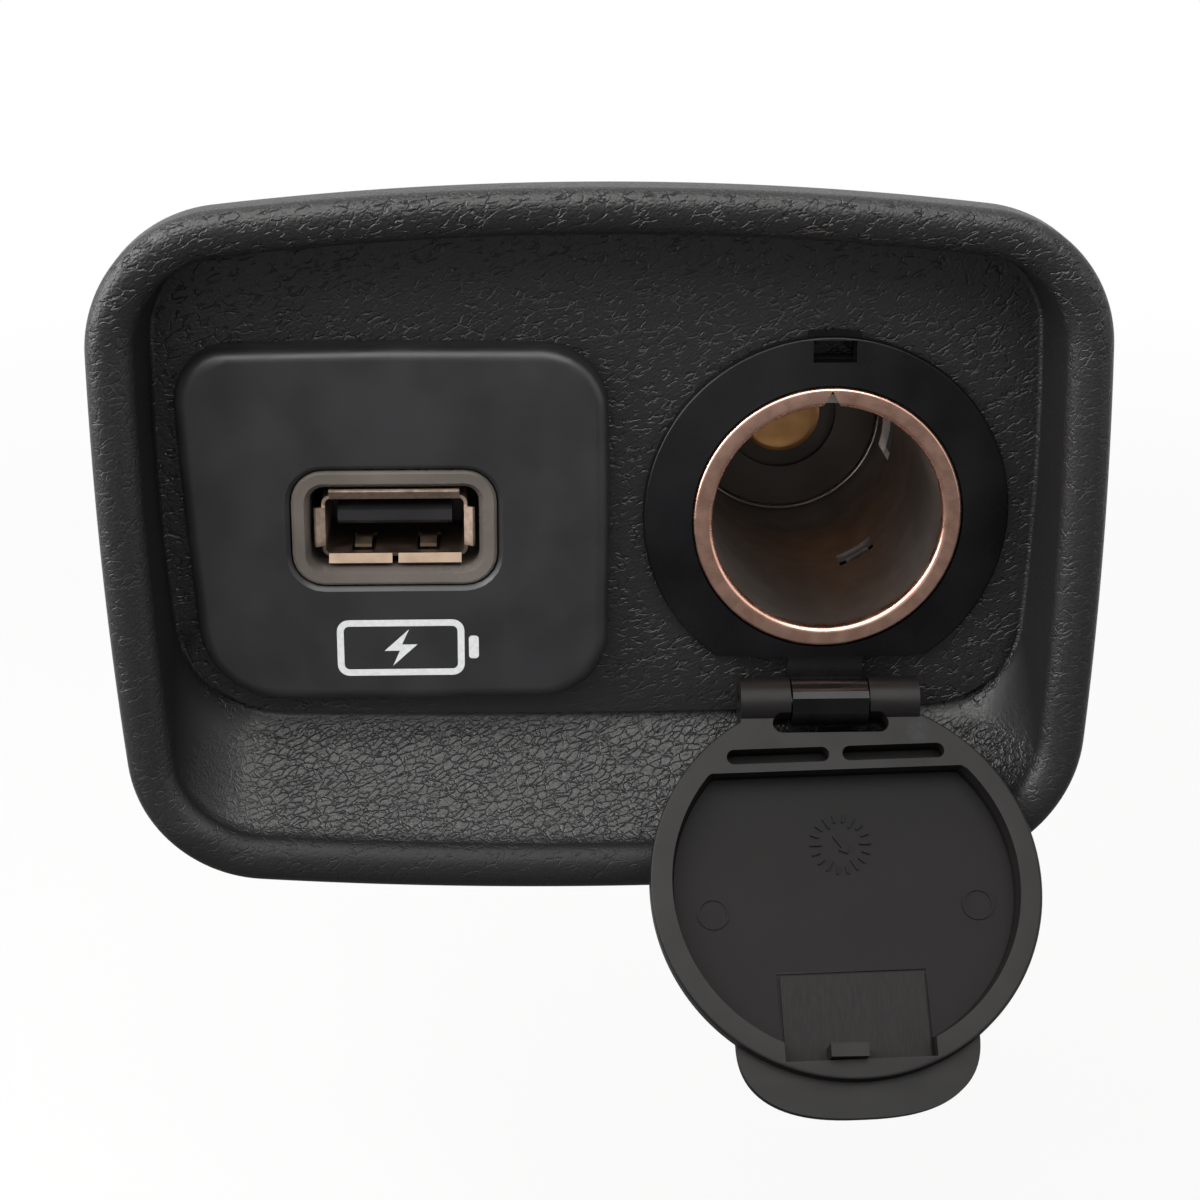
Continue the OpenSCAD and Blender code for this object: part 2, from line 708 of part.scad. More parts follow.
module terminal_housing() color([0.15, 0.15, 0.15]) facing() {
    back = plate_back - cover_t;
    mid_y = (shroud_top + shroud_low) / 2;
    shroud_h = shroud_top - shroud_low;
    difference() {
        union() {
            translate([0, 0, back]) cylinder(r = cover_r, h = cover_t + terminal_t + barrel_t + cover_skirt, $fn = steps);
            translate([0, mid_y, back - shroud_len]) linear_extrude(shroud_len + 0.5)
                rounded_rect(shroud_in_w + 2 * shroud_wall, shroud_h + 2 * shroud_wall, 1.2);
            translate([-2, mid_y + shroud_h / 2 + shroud_wall - 0.2, back - shroud_len + 1])
                cube([4, 1.2, shroud_len - 1 + 0.5]);
        }
        translate([0, 0, plate_back])
            cylinder(r = barrel_r + touch, h = terminal_t + barrel_t + cover_skirt + through, $fn = steps);
        translate([0, 0, plate_back - terminal_t - rivet_t - 0.8])
            cylinder(r = positive_y + terminal_t + slip, h = terminal_t + rivet_t + 0.8 + through, $fn = steps);
        translate([-blade_w / 2 - slip, 0, plate_back - terminal_t - slip])
            cube([blade_w + 2 * slip, positive_y + terminal_t + slip, terminal_t + slip + through]);
        translate([-blade_w / 2 - slip, positive_y - slip, back - through])
            cube([blade_w + 2 * slip, terminal_t + 2 * slip, cover_t + 2 * through]);
        translate([-blade_w / 2 - slip, negative_y - terminal_t - slip, back - through])
            cube([blade_w + 2 * slip, terminal_t + 2 * slip, cover_t + 2 * through]);
        translate([0, mid_y, back - shroud_len - through]) linear_extrude(shroud_len + through)
            rounded_rect(shroud_in_w, shroud_h, 0.6);
    }
}

// Disc of the cap, centred on its own axis, with a rounded and slightly domed face
module cap_disc() {
    rotate_extrude($fn = steps)
        polygon(concat([[0, cap_in], [cap_r - 0.25, cap_in], [cap_r, cap_in + 0.25]],
            arc([cap_r - cap_edge_r, cap_out - cap_edge_r - 0.15], cap_edge_r, 0, 80, 6),
            [[0, cap_out]]));
}

// Grip that grows out of the cap's face side beyond its edge
module grip() {
    root = cap_r - 4.1;
    end = cap_r + grip_len;
    outline = [
        for (i = [0:24])
            let (t = -90 + 180 * i / 24)
            [grip_w / 2 * sin(t), root + (end - root) * pow(max(0, cos(t)), 0.85)]
    ];
    difference() {
        translate([0, 0, grip_low]) linear_extrude(cap_out - 0.4 - grip_low) polygon(outline);
        translate([0, 0, cap_in]) cylinder(r = cap_r - 0.6, h = 2 * cap_t, $fn = steps);
    }
}

// Blind slit with round ends in the inner face of the cap
module slit(x, y, w, h, z_top) {
    translate([x, y, cap_in - through]) linear_extrude(z_top - cap_in + through)
        rounded_rect(w, h, h / 2 - 0.01);
}

// Pocket of the cap: a drafted round with one flat side towards the hinge
module pocket() {
    difference() {
        translate([0, cap_reach, cap_in - through])
            cylinder(r1 = pocket_r + 0.35, r2 = pocket_r - 0.15, h = pocket_z - cap_in + through, $fn = steps);
        translate([-cap_r, -cap_r + pocket_flat, cap_in - 2 * through]) cube([2 * cap_r, cap_r, 2 * cap_t]);
    }
}

// Cap as it lies when closed, drawn with its hinge axis on x
module cap_closed() {
    hook_y = hinge_drop + catch_top - catch_h / 2;
    difference() {
        union() {
            translate([0, cap_reach, 0]) cap_disc();
            translate([0, cap_reach, 0]) grip();
            for (side = [-1, 1]) translate([side * (ear_x + ear_w / 2), 0, 0]) {
                rotate([0, 90, 0]) cylinder(r = ear_r, h = ear_w, center = true, $fn = steps);
                translate([-ear_w / 2, 0, cap_in]) cube([ear_w, 4, cap_t - 0.35]);
            }
        }
        pocket();
        translate([-ear_x, -ear_r - through, cap_in - through])
            cube([2 * ear_x, ear_r + through + oval_y, cap_t + 2 * through]);
        slit(0, oval_y, oval_w, oval_h, cap_out + through);
        for (side = [-1, 1]) {
            slit(side * (slit_w + slit_web) / 2, slit_y, slit_w, slit_h, pocket_z);
            translate([side * mark_x, mark_y, cap_in - through]) cylinder(r = mark_r, h = through + mark_h, $fn = 48);
            translate([side * dimple_x, cap_reach + dimple_y, pocket_z - 0.5])
                cylinder(r = mark_r, h = 0.5 + mark_h, $fn = 48);
        }
        rotate([0, 90, 0])
            cylinder(r = pin_r + touch, h = 2 * (ear_x + ear_w + through), center = true, $fn = steps);
    }
    intersection() {
        translate([-patch_w / 2, cap_reach + patch_y, pocket_z - patch_t])
            cube([patch_w, pocket_r - patch_y, patch_t + 0.2]);
        translate([0, cap_reach, cap_in]) cylinder(r = pocket_r, h = cap_t, $fn = steps);
    }
    translate([catch_shift - hinge_shift - hook_w / 2, hook_y - hook_t / 2, cap_in - hook_len])
        cube([hook_w, hook_t, hook_len + cap_t - cap_skin + 0.2]);
}

module cap() color([0.2, 0.19, 0.18]) facing()
    translate([hinge_shift, -hinge_drop, hinge_h]) rotate([open_turn, 0, 0]) cap_closed();

module hinge_pin() color([0.7, 0.7, 0.7]) facing()
    translate([hinge_shift, -hinge_drop, hinge_h]) rotate([0, 90, 0])
        cylinder(r = pin_r, h = 2 * (ear_x + ear_w) - 0.6, center = true, $fn = steps);

function plate_outline(inset) = crowned_outline(plate_corners, plate_radii, plate_crowns, inset, 7, 2);

// One outline of the light ring, grown on every side, at one height
function light_outline(grow, z) =
    lifted(rounded_points(light_w + 2 * grow, light_h + 2 * grow, light_r + grow, 6), z);

// Opening for the light ring, with a chamfered mouth
module light_opening() {
    skin([
        light_outline(slip + 1.4, plate_front + 1),
        light_outline(slip, plate_front - 0.4),
        light_outline(slip, floor_z - through)
    ]);
}

module port_faceplate() color([0.2, 0.205, 0.21]) facing() {
    difference() {
        skin(concat(
            [lifted(plate_outline(plate_round), plate_front)],
            [for (a = [22.5:22.5:90])
                lifted(plate_outline(plate_round * (1 - sin(a))), plate_front - plate_round * (1 - cos(a)))],
            [lifted(plate_outline(0), floor_z)]
        ));
        translate([port_x, port_y, 0]) light_opening();
    }
    translate([port_x, port_y, floor_z - frame_len]) linear_extrude(frame_len + 0.1) difference() {
        square([frame_w, frame_h], center = true);
        square([frame_w - 2 * frame_t, frame_h - 2 * frame_t], center = true);
    }
}

module port_light_ring() color([0.42, 0.38, 0.35]) facing() translate([port_x, port_y, 0]) difference() {
    skin([
        light_outline(-0.25, light_front),
        light_outline(0, light_front - 0.25),
        light_outline(0, floor_z),
        light_outline(1, floor_z),
        light_outline(1, floor_z - collar_t),
        light_outline(0, floor_z - collar_t),
        light_outline(0, guide_back)
    ]);
    skin([
        light_outline(0.7 - light_wall, light_front + 0.35),
        light_outline(-light_wall, light_front - 0.7),
        light_outline(-light_wall, guide_back - through)
    ]);
}

// Flared lip along one edge of the shell's mouth, drawn along x with its wall's outer face at y = 0
module flared_lip(w) {
    translate([-w / 2, 0, 0]) rotate([90, 0, 90]) linear_extrude(w)
        polygon([[-shell_t, -0.3], [0, -0.3], [0, -0.05], [flare * 0.75, flare * 0.4],
            [flare * 0.75 - 0.2, flare * 0.4 + 0.24], [-shell_t, 0.12]]);
}

// Spring finger pressed out of the shell's lower wall towards the tongue
module spring_finger() {
    translate([-finger_w / 2, -shell_h / 2, shell_front]) rotate([90, 0, 90]) linear_extrude(finger_w)
        polygon([[-shell_t, -6.4], [0, -6.4], [0.85, -2.2], [0.5, -1.1], [0.2, -1.1], [0.5, -2.2], [-shell_t, -6]]);
}

module port_shell() color([0.78, 0.74, 0.68]) facing() translate([port_x, port_y, 0]) {
    difference() {
        translate([0, 0, shell_back]) linear_extrude(shell_len) difference() {
            rounded_rect(shell_out_w, shell_out_h, 0.8);
            rounded_rect(shell_w, shell_h, 0.5);
        }
        for (x = [-1, 1]) translate([x * finger_x - finger_w / 2 - 0.3, -shell_out_h / 2 - 0.1, shell_front - 6])
            cube([finger_w + 0.6, shell_t + 0.2, 5.2]);
    }
    for (x = [-1, 1]) translate([x * finger_x, 0, 0]) spring_finger();
    translate([0, shell_out_h / 2, shell_front]) flared_lip(shell_w - 0.8);
    for (x = [-1, 1]) translate([x * shell_w / 4, -shell_out_h / 2, shell_front])
        mirror([0, 1, 0]) flared_lip(shell_w / 2 - 0.55);
    for (x = [-1, 1]) translate([x * shell_out_w / 2, 0, shell_front])
        rotate(-90 * x) flared_lip(shell_h - 1.5);
    for (x = [-1, 1]) translate([x * (shell_out_w - shell_t) / 2 - shell_t / 2, -leg_h / 2, board_back_z - 0.8])
        cube([shell_t, leg_h, shell_back - board_back_z + 1.2]);
}

module port_tongue() color([0.12, 0.12, 0.13]) facing() translate([port_x, port_y, 0]) {
    front = shell_front - 0.5;
    difference() {
        union() {
            translate([0, 0, board_front]) linear_extrude(shell_len - 9.5 + 0.6)
                rounded_rect(shell_w - 0.1, shell_h - 0.1, 0.45);
            translate([-tongue_w / 2, 0, 0]) rotate([90, 0, 90]) linear_extrude(tongue_w)
                polygon([[tongue_low, board_front], [tongue_low, front - 0.5], [tongue_low + 0.4, front],
                    [tongue_top - 0.5, front], [tongue_top, front - 0.9], [tongue_top, board_front]]);
        }
        for (x = contact_x) translate([x - contact_w / 2 - touch, tongue_low - 0.01, board_front - through])
            cube([contact_w + 2 * touch, contact_t + touch, shell_len + 0.6 + through - 1.8]);
        for (x = [-1, 1]) translate([x * (shell_out_w - shell_t) / 2 - 0.5, -leg_h / 2 - slip, board_front - through])
            cube([1, leg_h + 2 * slip, through + 0.7]);
    }
}

module port_contact(x) color([0.8, 0.65, 0.3]) facing() translate([port_x + x, port_y, 0])
    translate([-contact_w / 2, tongue_low, board_back_z - pin_tail])
        cube([contact_w, contact_t, shell_front - 2.6 - board_back_z + pin_tail]);

// Places of the header's pins on the board
header_pins_x = [for (i = [0:3]) header_x + (i - 1.5) * pin_pitch];

module circuit_board() color([0.1, 0.35, 0.2]) facing() translate([port_x, port_y, board_back_z])
    linear_extrude(board_t) difference() {
        square([board_w, board_h], center = true);
        for (x = contact_x) translate([x, tongue_low + contact_t / 2])
            square([contact_w + 0.1, contact_t + 0.1], center = true);
        for (x = [-1, 1]) translate([x * (shell_out_w - shell_t) / 2, 0])
            square([shell_t + 0.1, leg_h + 0.1], center = true);
        for (x = header_pins_x) translate([x, header_y]) square(pin_w + 0.08, center = true);
    }

module port_leds() color([0.9, 0.9, 0.85]) facing() translate([port_x, port_y, board_front])
    for (x = [-1, 1]) translate([x * (light_w - light_wall) / 2 - led_size[1] / 2, -led_size[0] / 2, 0])
        cube([led_size[1], led_size[0], led_size[2]]);

module converter_coil() color([0.25, 0.25, 0.26]) facing()
    translate([port_x + coil_x, port_y + coil_y, board_back_z]) mirror([0, 0, 1]) {
        linear_extrude(0.8) rounded_rect(2 * coil_r, 2 * coil_r, 1.2);
        rotate_extrude($fn = 48)
            polygon([[0, 0.8], [coil_r - 0.8, 0.8], [coil_r - 0.8, 1.4], [coil_r - 0.2, 1.8],
                [coil_r - 0.2, coil_h - 0.6], [coil_r - 0.8, coil_h], [0, coil_h]]);
    }

module filter_capacitor() color([0.6, 0.6, 0.62]) facing()
    translate([port_x + can_x, port_y + can_y, board_back_z]) mirror([0, 0, 1])
        rotate_extrude($fn = 48)
            polygon([[0, 0], [can_r, 0], [can_r, 0.9], [can_r - 0.3, 1.2], [can_r, 1.5], [can_r, can_h - 0.5],
                [can_r - 0.5, can_h], [0, can_h]]);

// Snap hook on a side of the housing, behind the bezel's wall
module housing_hook(side) {
    lock = back_z - slip;
    translate([0, hook_span / 2, 0]) rotate([90, 0, 0]) linear_extrude(hook_span)
        polygon([for (p = [[housing_w / 2 - 0.3, lock], [housing_w / 2 + 1, lock],
            [housing_w / 2 + 1, lock - 0.6], [housing_w / 2 - 0.3, lock - 3.6]]) [side * p[0], p[1]]]);
}

module port_housing() color([0.14, 0.14, 0.14]) facing() translate([port_x, port_y, 0]) {
    wall_in_w = housing_w - 2 * housing_wall;
    wall_in_h = housing_h - 2 * housing_wall;
    difference() {
        translate([0, 0, housing_end]) linear_extrude(floor_z - housing_end)
            rounded_rect(housing_w, housing_h, 1);
        translate([0, 0, housing_end + housing_wall]) linear_extrude(floor_z - housing_end)
            square([wall_in_w, wall_in_h], center = true);
        translate([header_x, header_y, housing_end - through]) linear_extrude(housing_wall + 2 * through)
            rounded_rect(header_w + 2 * slip, header_h + 2 * slip, 0.8);
        for (side = [-1, 1], y = [-1, 1])
            translate([side * housing_w / 2 - 2, y * (hook_span / 2 + 0.5) - 0.4, back_z - slip - 7])
                cube([4, 0.8, 7.6]);
        for (side = [-1, 1])
            translate([side * housing_w / 2 - 2, -hook_span / 2 - 0.9, back_z - slip + 0.1])
                cube([4, hook_span + 1.8, 0.5]);
    }
    for (side = [-1, 1]) housing_hook(side);
    for (x = [-1, 1], y = [-1, 1])
        translate([x * (wall_in_w - post_side) / 2 - post_side / 2, y * (wall_in_h - post_side) / 2 - post_side / 2,
            housing_end + housing_wall / 2])
            cube([post_side, post_side, board_back_z - housing_end - housing_wall / 2]);
}

module harness_header() color([0.85, 0.84, 0.8]) facing()
    translate([port_x + header_x, port_y + header_y, board_back_z]) mirror([0, 0, 1]) difference() {
        union() {
            linear_extrude(header_len) rounded_rect(header_w, header_h, 0.6);
            translate([-2, header_h / 2 - 0.1, header_len - 5]) cube([4, 1, 2]);
        }
        translate([0, 0, header_floor]) linear_extrude(header_len)
            rounded_rect(header_w - 2 * header_wall, header_h - 2 * header_wall, 0.4);
        for (x = header_pins_x) translate([x - header_x, 0, -through]) linear_extrude(header_len)
            square(pin_w + 0.04, center = true);
    }

module header_pins() color([0.8, 0.65, 0.3]) facing()
    for (x = header_pins_x)
        translate([port_x + x, port_y + header_y, board_back_z - header_len + 3])
            linear_extrude(header_len - 3 + board_t + pin_tail) square(pin_w, center = true);

bezel();
for (i = [0:3]) panel_clip(clip_places[i]);
socket_sleeve();
socket_barrel();
barrel_insulator();
centre_contact();
positive_terminal();
negative_terminal();
terminal_housing();
cap();
hinge_pin();
port_faceplate();
port_light_ring();
port_shell();
port_tongue();
for (i = [0:3]) port_contact(contact_x[i]);
circuit_board();
port_leds();
converter_coil();
filter_capacitor();
port_housing();
harness_header();
header_pins();
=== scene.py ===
"""Looks of a car console panel with a charging port, a plug socket and the socket's hinged cap.

Sizes are in millimetres as the panel is seen from the front: x to the right, up, and out towards the
user. row() turns such a point into the row frame, in metres.
"""

import math

import bmesh
import bpy
import numpy as np
from mathutils import Matrix, Vector


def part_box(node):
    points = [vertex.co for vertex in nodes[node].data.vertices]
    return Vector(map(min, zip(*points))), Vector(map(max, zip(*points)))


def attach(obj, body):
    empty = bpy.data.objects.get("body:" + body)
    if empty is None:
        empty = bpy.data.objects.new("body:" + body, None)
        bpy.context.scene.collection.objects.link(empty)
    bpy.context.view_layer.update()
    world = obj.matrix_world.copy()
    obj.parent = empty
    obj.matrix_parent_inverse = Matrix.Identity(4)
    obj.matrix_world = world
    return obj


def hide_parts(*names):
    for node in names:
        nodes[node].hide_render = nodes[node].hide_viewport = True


MM = 0.001


def row(x, up, out):
    """A point of the front view in the row frame, in metres."""
    return Vector((x, -out, up)) * MM


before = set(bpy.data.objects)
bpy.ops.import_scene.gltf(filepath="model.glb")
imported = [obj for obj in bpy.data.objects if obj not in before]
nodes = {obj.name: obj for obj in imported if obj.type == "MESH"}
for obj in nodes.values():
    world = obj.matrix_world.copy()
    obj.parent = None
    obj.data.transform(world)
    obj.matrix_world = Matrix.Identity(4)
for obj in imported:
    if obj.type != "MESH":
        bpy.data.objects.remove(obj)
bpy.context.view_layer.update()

# Camera: where it looks, where it stands, and the lens that the photograph's perspective gives
LOOK_AT = Vector((-20.684, 0.0, -7.547)) * MM
CAMERA_AZIMUTH = -2.606
CAMERA_ELEVATION = 19.197
CAMERA_ROLL = 0.340
CAMERA_DISTANCE = 218.534 * MM
SENSOR = 36.0
PHOTO_WIDTH = 1200
FOCAL_PIXELS = 2388.73
LENS = FOCAL_PIXELS / PHOTO_WIDTH * SENSOR


def make_camera():
    a, e, roll = (math.radians(v) for v in (CAMERA_AZIMUTH, CAMERA_ELEVATION, CAMERA_ROLL))
    back = Vector((math.sin(a) * math.cos(e), -math.cos(a) * math.cos(e), math.sin(e)))
    right = (-back).cross(Vector((0, 0, 1))).normalized()
    up = right.cross(-back)
    turned_right = right * math.cos(roll) + up * math.sin(roll)
    turned_up = up * math.cos(roll) - right * math.sin(roll)
    data = bpy.data.cameras.new("camera")
    data.sensor_width = SENSOR
    data.lens = LENS
    data.clip_start = 0.01
    data.clip_end = 10
    camera = bpy.data.objects.new("camera", data)
    camera.matrix_world = Matrix((turned_right, turned_up, back)).transposed().to_4x4()
    camera.location = LOOK_AT + back * CAMERA_DISTANCE
    bpy.context.scene.collection.objects.link(camera)
    bpy.context.scene.camera = camera


# Light and floor. Powers are in watts. WORLD_LIGHT is the light from all round, ROOM_GLOSS is the dark room
# in front that glossy faces mirror, and FLOOR_GLOW is the floor near the part as the camera sees it.
FLOOR_HEIGHT = -90 * MM
FLOOR_SIZE = 4.0
FLOOR_GREY = 0.62
KEY_POWER = 3.6
LEFT_POWER = 2.6
FRONT_POWER = 0.3
SIDE_POWER = 0.6
LAMP_TARGET = (-20, -8, 5)
WORLD_LIGHT = 0.3
ROOM_GLOSS = 0.14
FLOOR_GLOW = 0.86


def add_lamp(name, place, size, power, colour):
    """A soft rectangular lamp at a point of the front view, turned to the middle of the part."""
    data = bpy.data.lights.new(name, "AREA")
    data.shape = "RECTANGLE"
    data.size, data.size_y = size[0] * MM, size[1] * MM
    data.energy = power
    data.color = colour
    lamp = bpy.data.objects.new(name, data)
    lamp.location = row(*place)
    lamp.rotation_mode = "QUATERNION"
    lamp.rotation_quaternion = (row(*LAMP_TARGET) - lamp.location).to_track_quat("-Z", "Y")
    bpy.context.scene.collection.objects.link(lamp)


def light_studio():
    add_lamp("key_lamp", (-90, 385, 235), (760, 460), KEY_POWER, (1.0, 0.985, 0.96))
    add_lamp("left_lamp", (-400, 160, 110), (300, 400), LEFT_POWER, (1.0, 0.98, 0.97))
    add_lamp("front_lamp", (-160, 120, 480), (500, 500), FRONT_POWER, (0.96, 0.98, 1.0))
    add_lamp("side_lamp", (420, 60, 240), (400, 500), SIDE_POWER, (1.0, 0.97, 0.94))
    world = bpy.data.worlds.new("studio")
    bpy.context.scene.world = world
    world.use_nodes = True
    world.node_tree.nodes.clear()
    graph = Graph(world.node_tree)
    path = graph.add("ShaderNodeLightPath").outputs
    shiny = graph.math("MAXIMUM", path["Is Glossy Ray"], path["Is Transmission Ray"])
    axes = graph.add("ShaderNodeSeparateXYZ")
    graph.join(graph.add("ShaderNodeTexCoord").outputs["Generated"], axes.inputs[0])
    behind = graph.remap(axes.outputs["Y"], -0.2, 0.6, ROOM_GLOSS, 1.0, smooth=True)
    above = graph.remap(axes.outputs["Z"], 0.2, 0.9, ROOM_GLOSS, 0.8, smooth=True)
    seen = graph.math("MAXIMUM", behind, above)
    strength = graph.mix(shiny, WORLD_LIGHT, seen)
    strength = graph.mix(path["Is Camera Ray"], strength, 1.0)
    light = graph.add("ShaderNodeBackground")
    light.inputs["Color"].default_value = (1, 1, 1, 1)
    graph.join(strength, light.inputs["Strength"])
    graph.join(light.outputs[0], graph.add("ShaderNodeOutputWorld").inputs["Surface"])


def make_floor():
    mesh = bpy.data.meshes.new("floor")
    half = FLOOR_SIZE / 2
    corners = [(-half, -half), (half, -half), (half, half), (-half, half)]
    mesh.from_pydata([(x, y, FLOOR_HEIGHT) for x, y in corners], [], [(0, 1, 2, 3)])
    floor = bpy.data.objects.new("floor", mesh)
    bpy.context.scene.collection.objects.link(floor)
    look = Look("floor_white", base=(FLOOR_GREY,) * 3, roughness=0.9)
    path = look.add("ShaderNodeLightPath").outputs
    shiny = look.math("MAXIMUM", path["Is Glossy Ray"], path["Is Transmission Ray"])
    away = look.add("ShaderNodeVectorMath", operation="LENGTH")
    look.join(look.place, away.inputs[0])
    plain = look.remap(away.outputs["Value"], 0.14, 0.6, FLOOR_GLOW, 1.0, smooth=True)
    share = look.math("MAXIMUM", look.math("MULTIPLY", path["Is Camera Ray"], plain), shiny)
    glow = look.add("ShaderNodeEmission")
    mirrored = look.remap(look.axes()["Y"], -0.02, 0.2, ROOM_GLOSS, 1.0, smooth=True)
    look.join(look.mix(path["Is Camera Ray"], mirrored, 1.0), glow.inputs["Strength"])
    mix = look.add("ShaderNodeMixShader")
    look.join(share, mix.inputs[0])
    look.join(look.shader.outputs[0], mix.inputs[1])
    look.join(glow.outputs[0], mix.inputs[2])
    look.join(mix.outputs[0], look.output.inputs["Surface"])
    mesh.materials.append(look.material)


class Graph:
    """Adds and joins the nodes of one shader tree."""

    def __init__(self, tree):
        self.tree = tree

    def add(self, kind, **settings):
        node = self.tree.nodes.new(kind)
        for name, value in settings.items():
            setattr(node, name, value)
        return node

    def join(self, source, target):
        self.tree.links.new(source, target)

    def feed(self, socket, value):
        """Puts a number, a vector or another node's output on a socket."""
        if isinstance(value, bpy.types.NodeSocket):
            self.join(value, socket)
        else:
            socket.default_value = value

    def math(self, operation, a, b):
        node = self.add("ShaderNodeMath", operation=operation)
        for socket, value in zip(node.inputs, (a, b)):
            self.feed(socket, value)
        return node.outputs[0]

    def mix(self, share, a, b):
        """Mixes two numbers by a share from 0 to 1."""
        node = self.add("ShaderNodeMix", data_type="FLOAT")
        for socket, value in zip((node.inputs[0], node.inputs[2], node.inputs[3]), (share, a, b)):
            self.feed(socket, value)
        return node.outputs[0]

    def remap(self, value, from_low, from_high, to_low=0.0, to_high=1.0, smooth=False):
        node = self.add("ShaderNodeMapRange", interpolation_type="SMOOTHSTEP" if smooth else "LINEAR")
        self.feed(node.inputs["Value"], value)
        node.inputs["From Min"].default_value = from_low
        node.inputs["From Max"].default_value = from_high
        node.inputs["To Min"].default_value = to_low
        node.inputs["To Max"].default_value = to_high
        return node.outputs["Result"]


class Look(Graph):
    """One procedural material. Its texture coordinates are the row frame's metres."""

    def __init__(self, name, base, roughness, metallic=0.0, specular=0.5):
        self.material = bpy.data.materials.new(name)
        self.material.use_nodes = True
        super().__init__(self.material.node_tree)
        self.shader = self.tree.nodes["Principled BSDF"]
        self.output = self.tree.nodes["Material Output"]
        self.shader.inputs["Base Color"].default_value = (*base, 1)
        self.material.diffuse_color = (*base, 1)
        self.shader.inputs["Roughness"].default_value = roughness
        self.shader.inputs["Metallic"].default_value = metallic
        self.shader.inputs["Specular IOR Level"].default_value = specular
        self.place = self.add("ShaderNodeTexCoord").outputs["Object"]

    def stretched(self, size, turn=0.0):
        """The place vector for features that long along x, depth and up, turned from x to up by degrees."""
        node = self.add("ShaderNodeMapping", vector_type="TEXTURE")
        self.join(self.place, node.inputs["Vector"])
        node.inputs["Rotation"].default_value = (0, -math.radians(turn), 0)
        node.inputs["Scale"].default_value = size
        return node.outputs[0]

    def noise(self, size, detail=3.0, place=None):
        """Noise with features of about that size in millimetres, from 0 to 1."""
        node = self.add("ShaderNodeTexNoise")
        self.join(place or self.place, node.inputs["Vector"])
        node.inputs["Scale"].default_value = 1 / (size * MM)
        node.inputs["Detail"].default_value = detail
        return node.outputs["Fac"]

    def cells(self, size, place):
        """Distance to the edge of Voronoi cells of about that size in millimetres."""
        node = self.add("ShaderNodeTexVoronoi", feature="DISTANCE_TO_EDGE")
        self.join(place, node.inputs["Vector"])
        node.inputs["Scale"].default_value = 1 / (size * MM)
        return node.outputs["Distance"]

    def warped(self, place, size, amount):
        """The place vector shifted by noise of that size, by up to amount millimetres."""
        noise = self.add("ShaderNodeTexNoise")
        self.join(self.place, noise.inputs["Vector"])
        noise.inputs["Scale"].default_value = 1 / (size * MM)
        noise.inputs["Detail"].default_value = 2.0
        shift = self.add("ShaderNodeVectorMath", operation="SUBTRACT")
        self.join(noise.outputs["Color"], shift.inputs[0])
        shift.inputs[1].default_value = (0.5, 0.5, 0.5)
        grown = self.add("ShaderNodeVectorMath", operation="SCALE")
        self.join(shift.outputs[0], grown.inputs[0])
        grown.inputs["Scale"].default_value = amount * MM
        total = self.add("ShaderNodeVectorMath", operation="ADD")
        self.join(place, total.inputs[0])
        self.join(grown.outputs[0], total.inputs[1])
        return total.outputs[0]

    def blend(self, share, a, b):
        """Mixes two colours by a share from 0 to 1."""
        node = self.add("ShaderNodeMix", data_type="RGBA")
        self.feed(node.inputs[0], share)
        for socket, colour in ((node.inputs[6], a), (node.inputs[7], b)):
            self.feed(socket, colour if isinstance(colour, bpy.types.NodeSocket) else (*colour, 1))
        return node.outputs[2]

    def colour(self, value):
        self.feed(self.shader.inputs["Base Color"], value)

    def roughness(self, value):
        self.feed(self.shader.inputs["Roughness"], value)

    def specular(self, value):
        self.feed(self.shader.inputs["Specular IOR Level"], value)

    def bump(self, height, depth, strength=1.0):
        """Adds relief: height runs from 0 to 1 over that depth in millimetres."""
        node = self.add("ShaderNodeBump")
        node.inputs["Distance"].default_value = depth * MM
        self.feed(node.inputs["Strength"], strength)
        self.join(height, node.inputs["Height"])
        self.join(node.outputs[0], self.shader.inputs["Normal"])

    def attribute(self, name):
        node = self.add("ShaderNodeAttribute", attribute_type="GEOMETRY", attribute_name=name)
        return node.outputs["Fac"]

    def along(self, point, direction):
        """Distance from a point of the row frame along a direction, in metres."""
        node = self.add("ShaderNodeVectorMath", operation="DOT_PRODUCT")
        self.join(self.place, node.inputs[0])
        node.inputs[1].default_value = direction
        return self.math("SUBTRACT", node.outputs["Value"], Vector(point).dot(direction))

    def within(self, value, low, high, soft):
        """1 where the value lies between low and high, with soft edges; all in metres."""
        rise = self.remap(value, low - soft, low + soft, smooth=True)
        fall = self.remap(value, high - soft, high + soft, 1.0, 0.0, smooth=True)
        return self.math("MULTIPLY", rise, fall)

    def axes(self):
        node = self.add("ShaderNodeSeparateXYZ")
        self.join(self.place, node.inputs[0])
        return node.outputs


# Outlines, as in the part: four corner circles joined by crowned sides

def direction(angle):
    return np.array([math.cos(math.radians(angle)), math.sin(math.radians(angle))])


def corner_centres(left, right, top, low, lean, radii):
    return [np.array(p) for p in (
        (left + radii[0], top - radii[0]),
        (right - radii[1], top - radii[1]),
        (right - radii[2], low + radii[2]),
        (left + lean + radii[3], low + radii[3]),
    )]


def run_angle(a, b, ra, rb):
    d = (b - a) / np.linalg.norm(b - a)
    s = (ra - rb) / np.linalg.norm(b - a)
    normal = np.array([-d[1], d[0]]) * math.sqrt(1 - s * s) + d * s
    return math.degrees(math.atan2(normal[1], normal[0]))


def run_tip(a, b, crown):
    return math.degrees(math.atan(4 * crown / np.linalg.norm(b - a)))


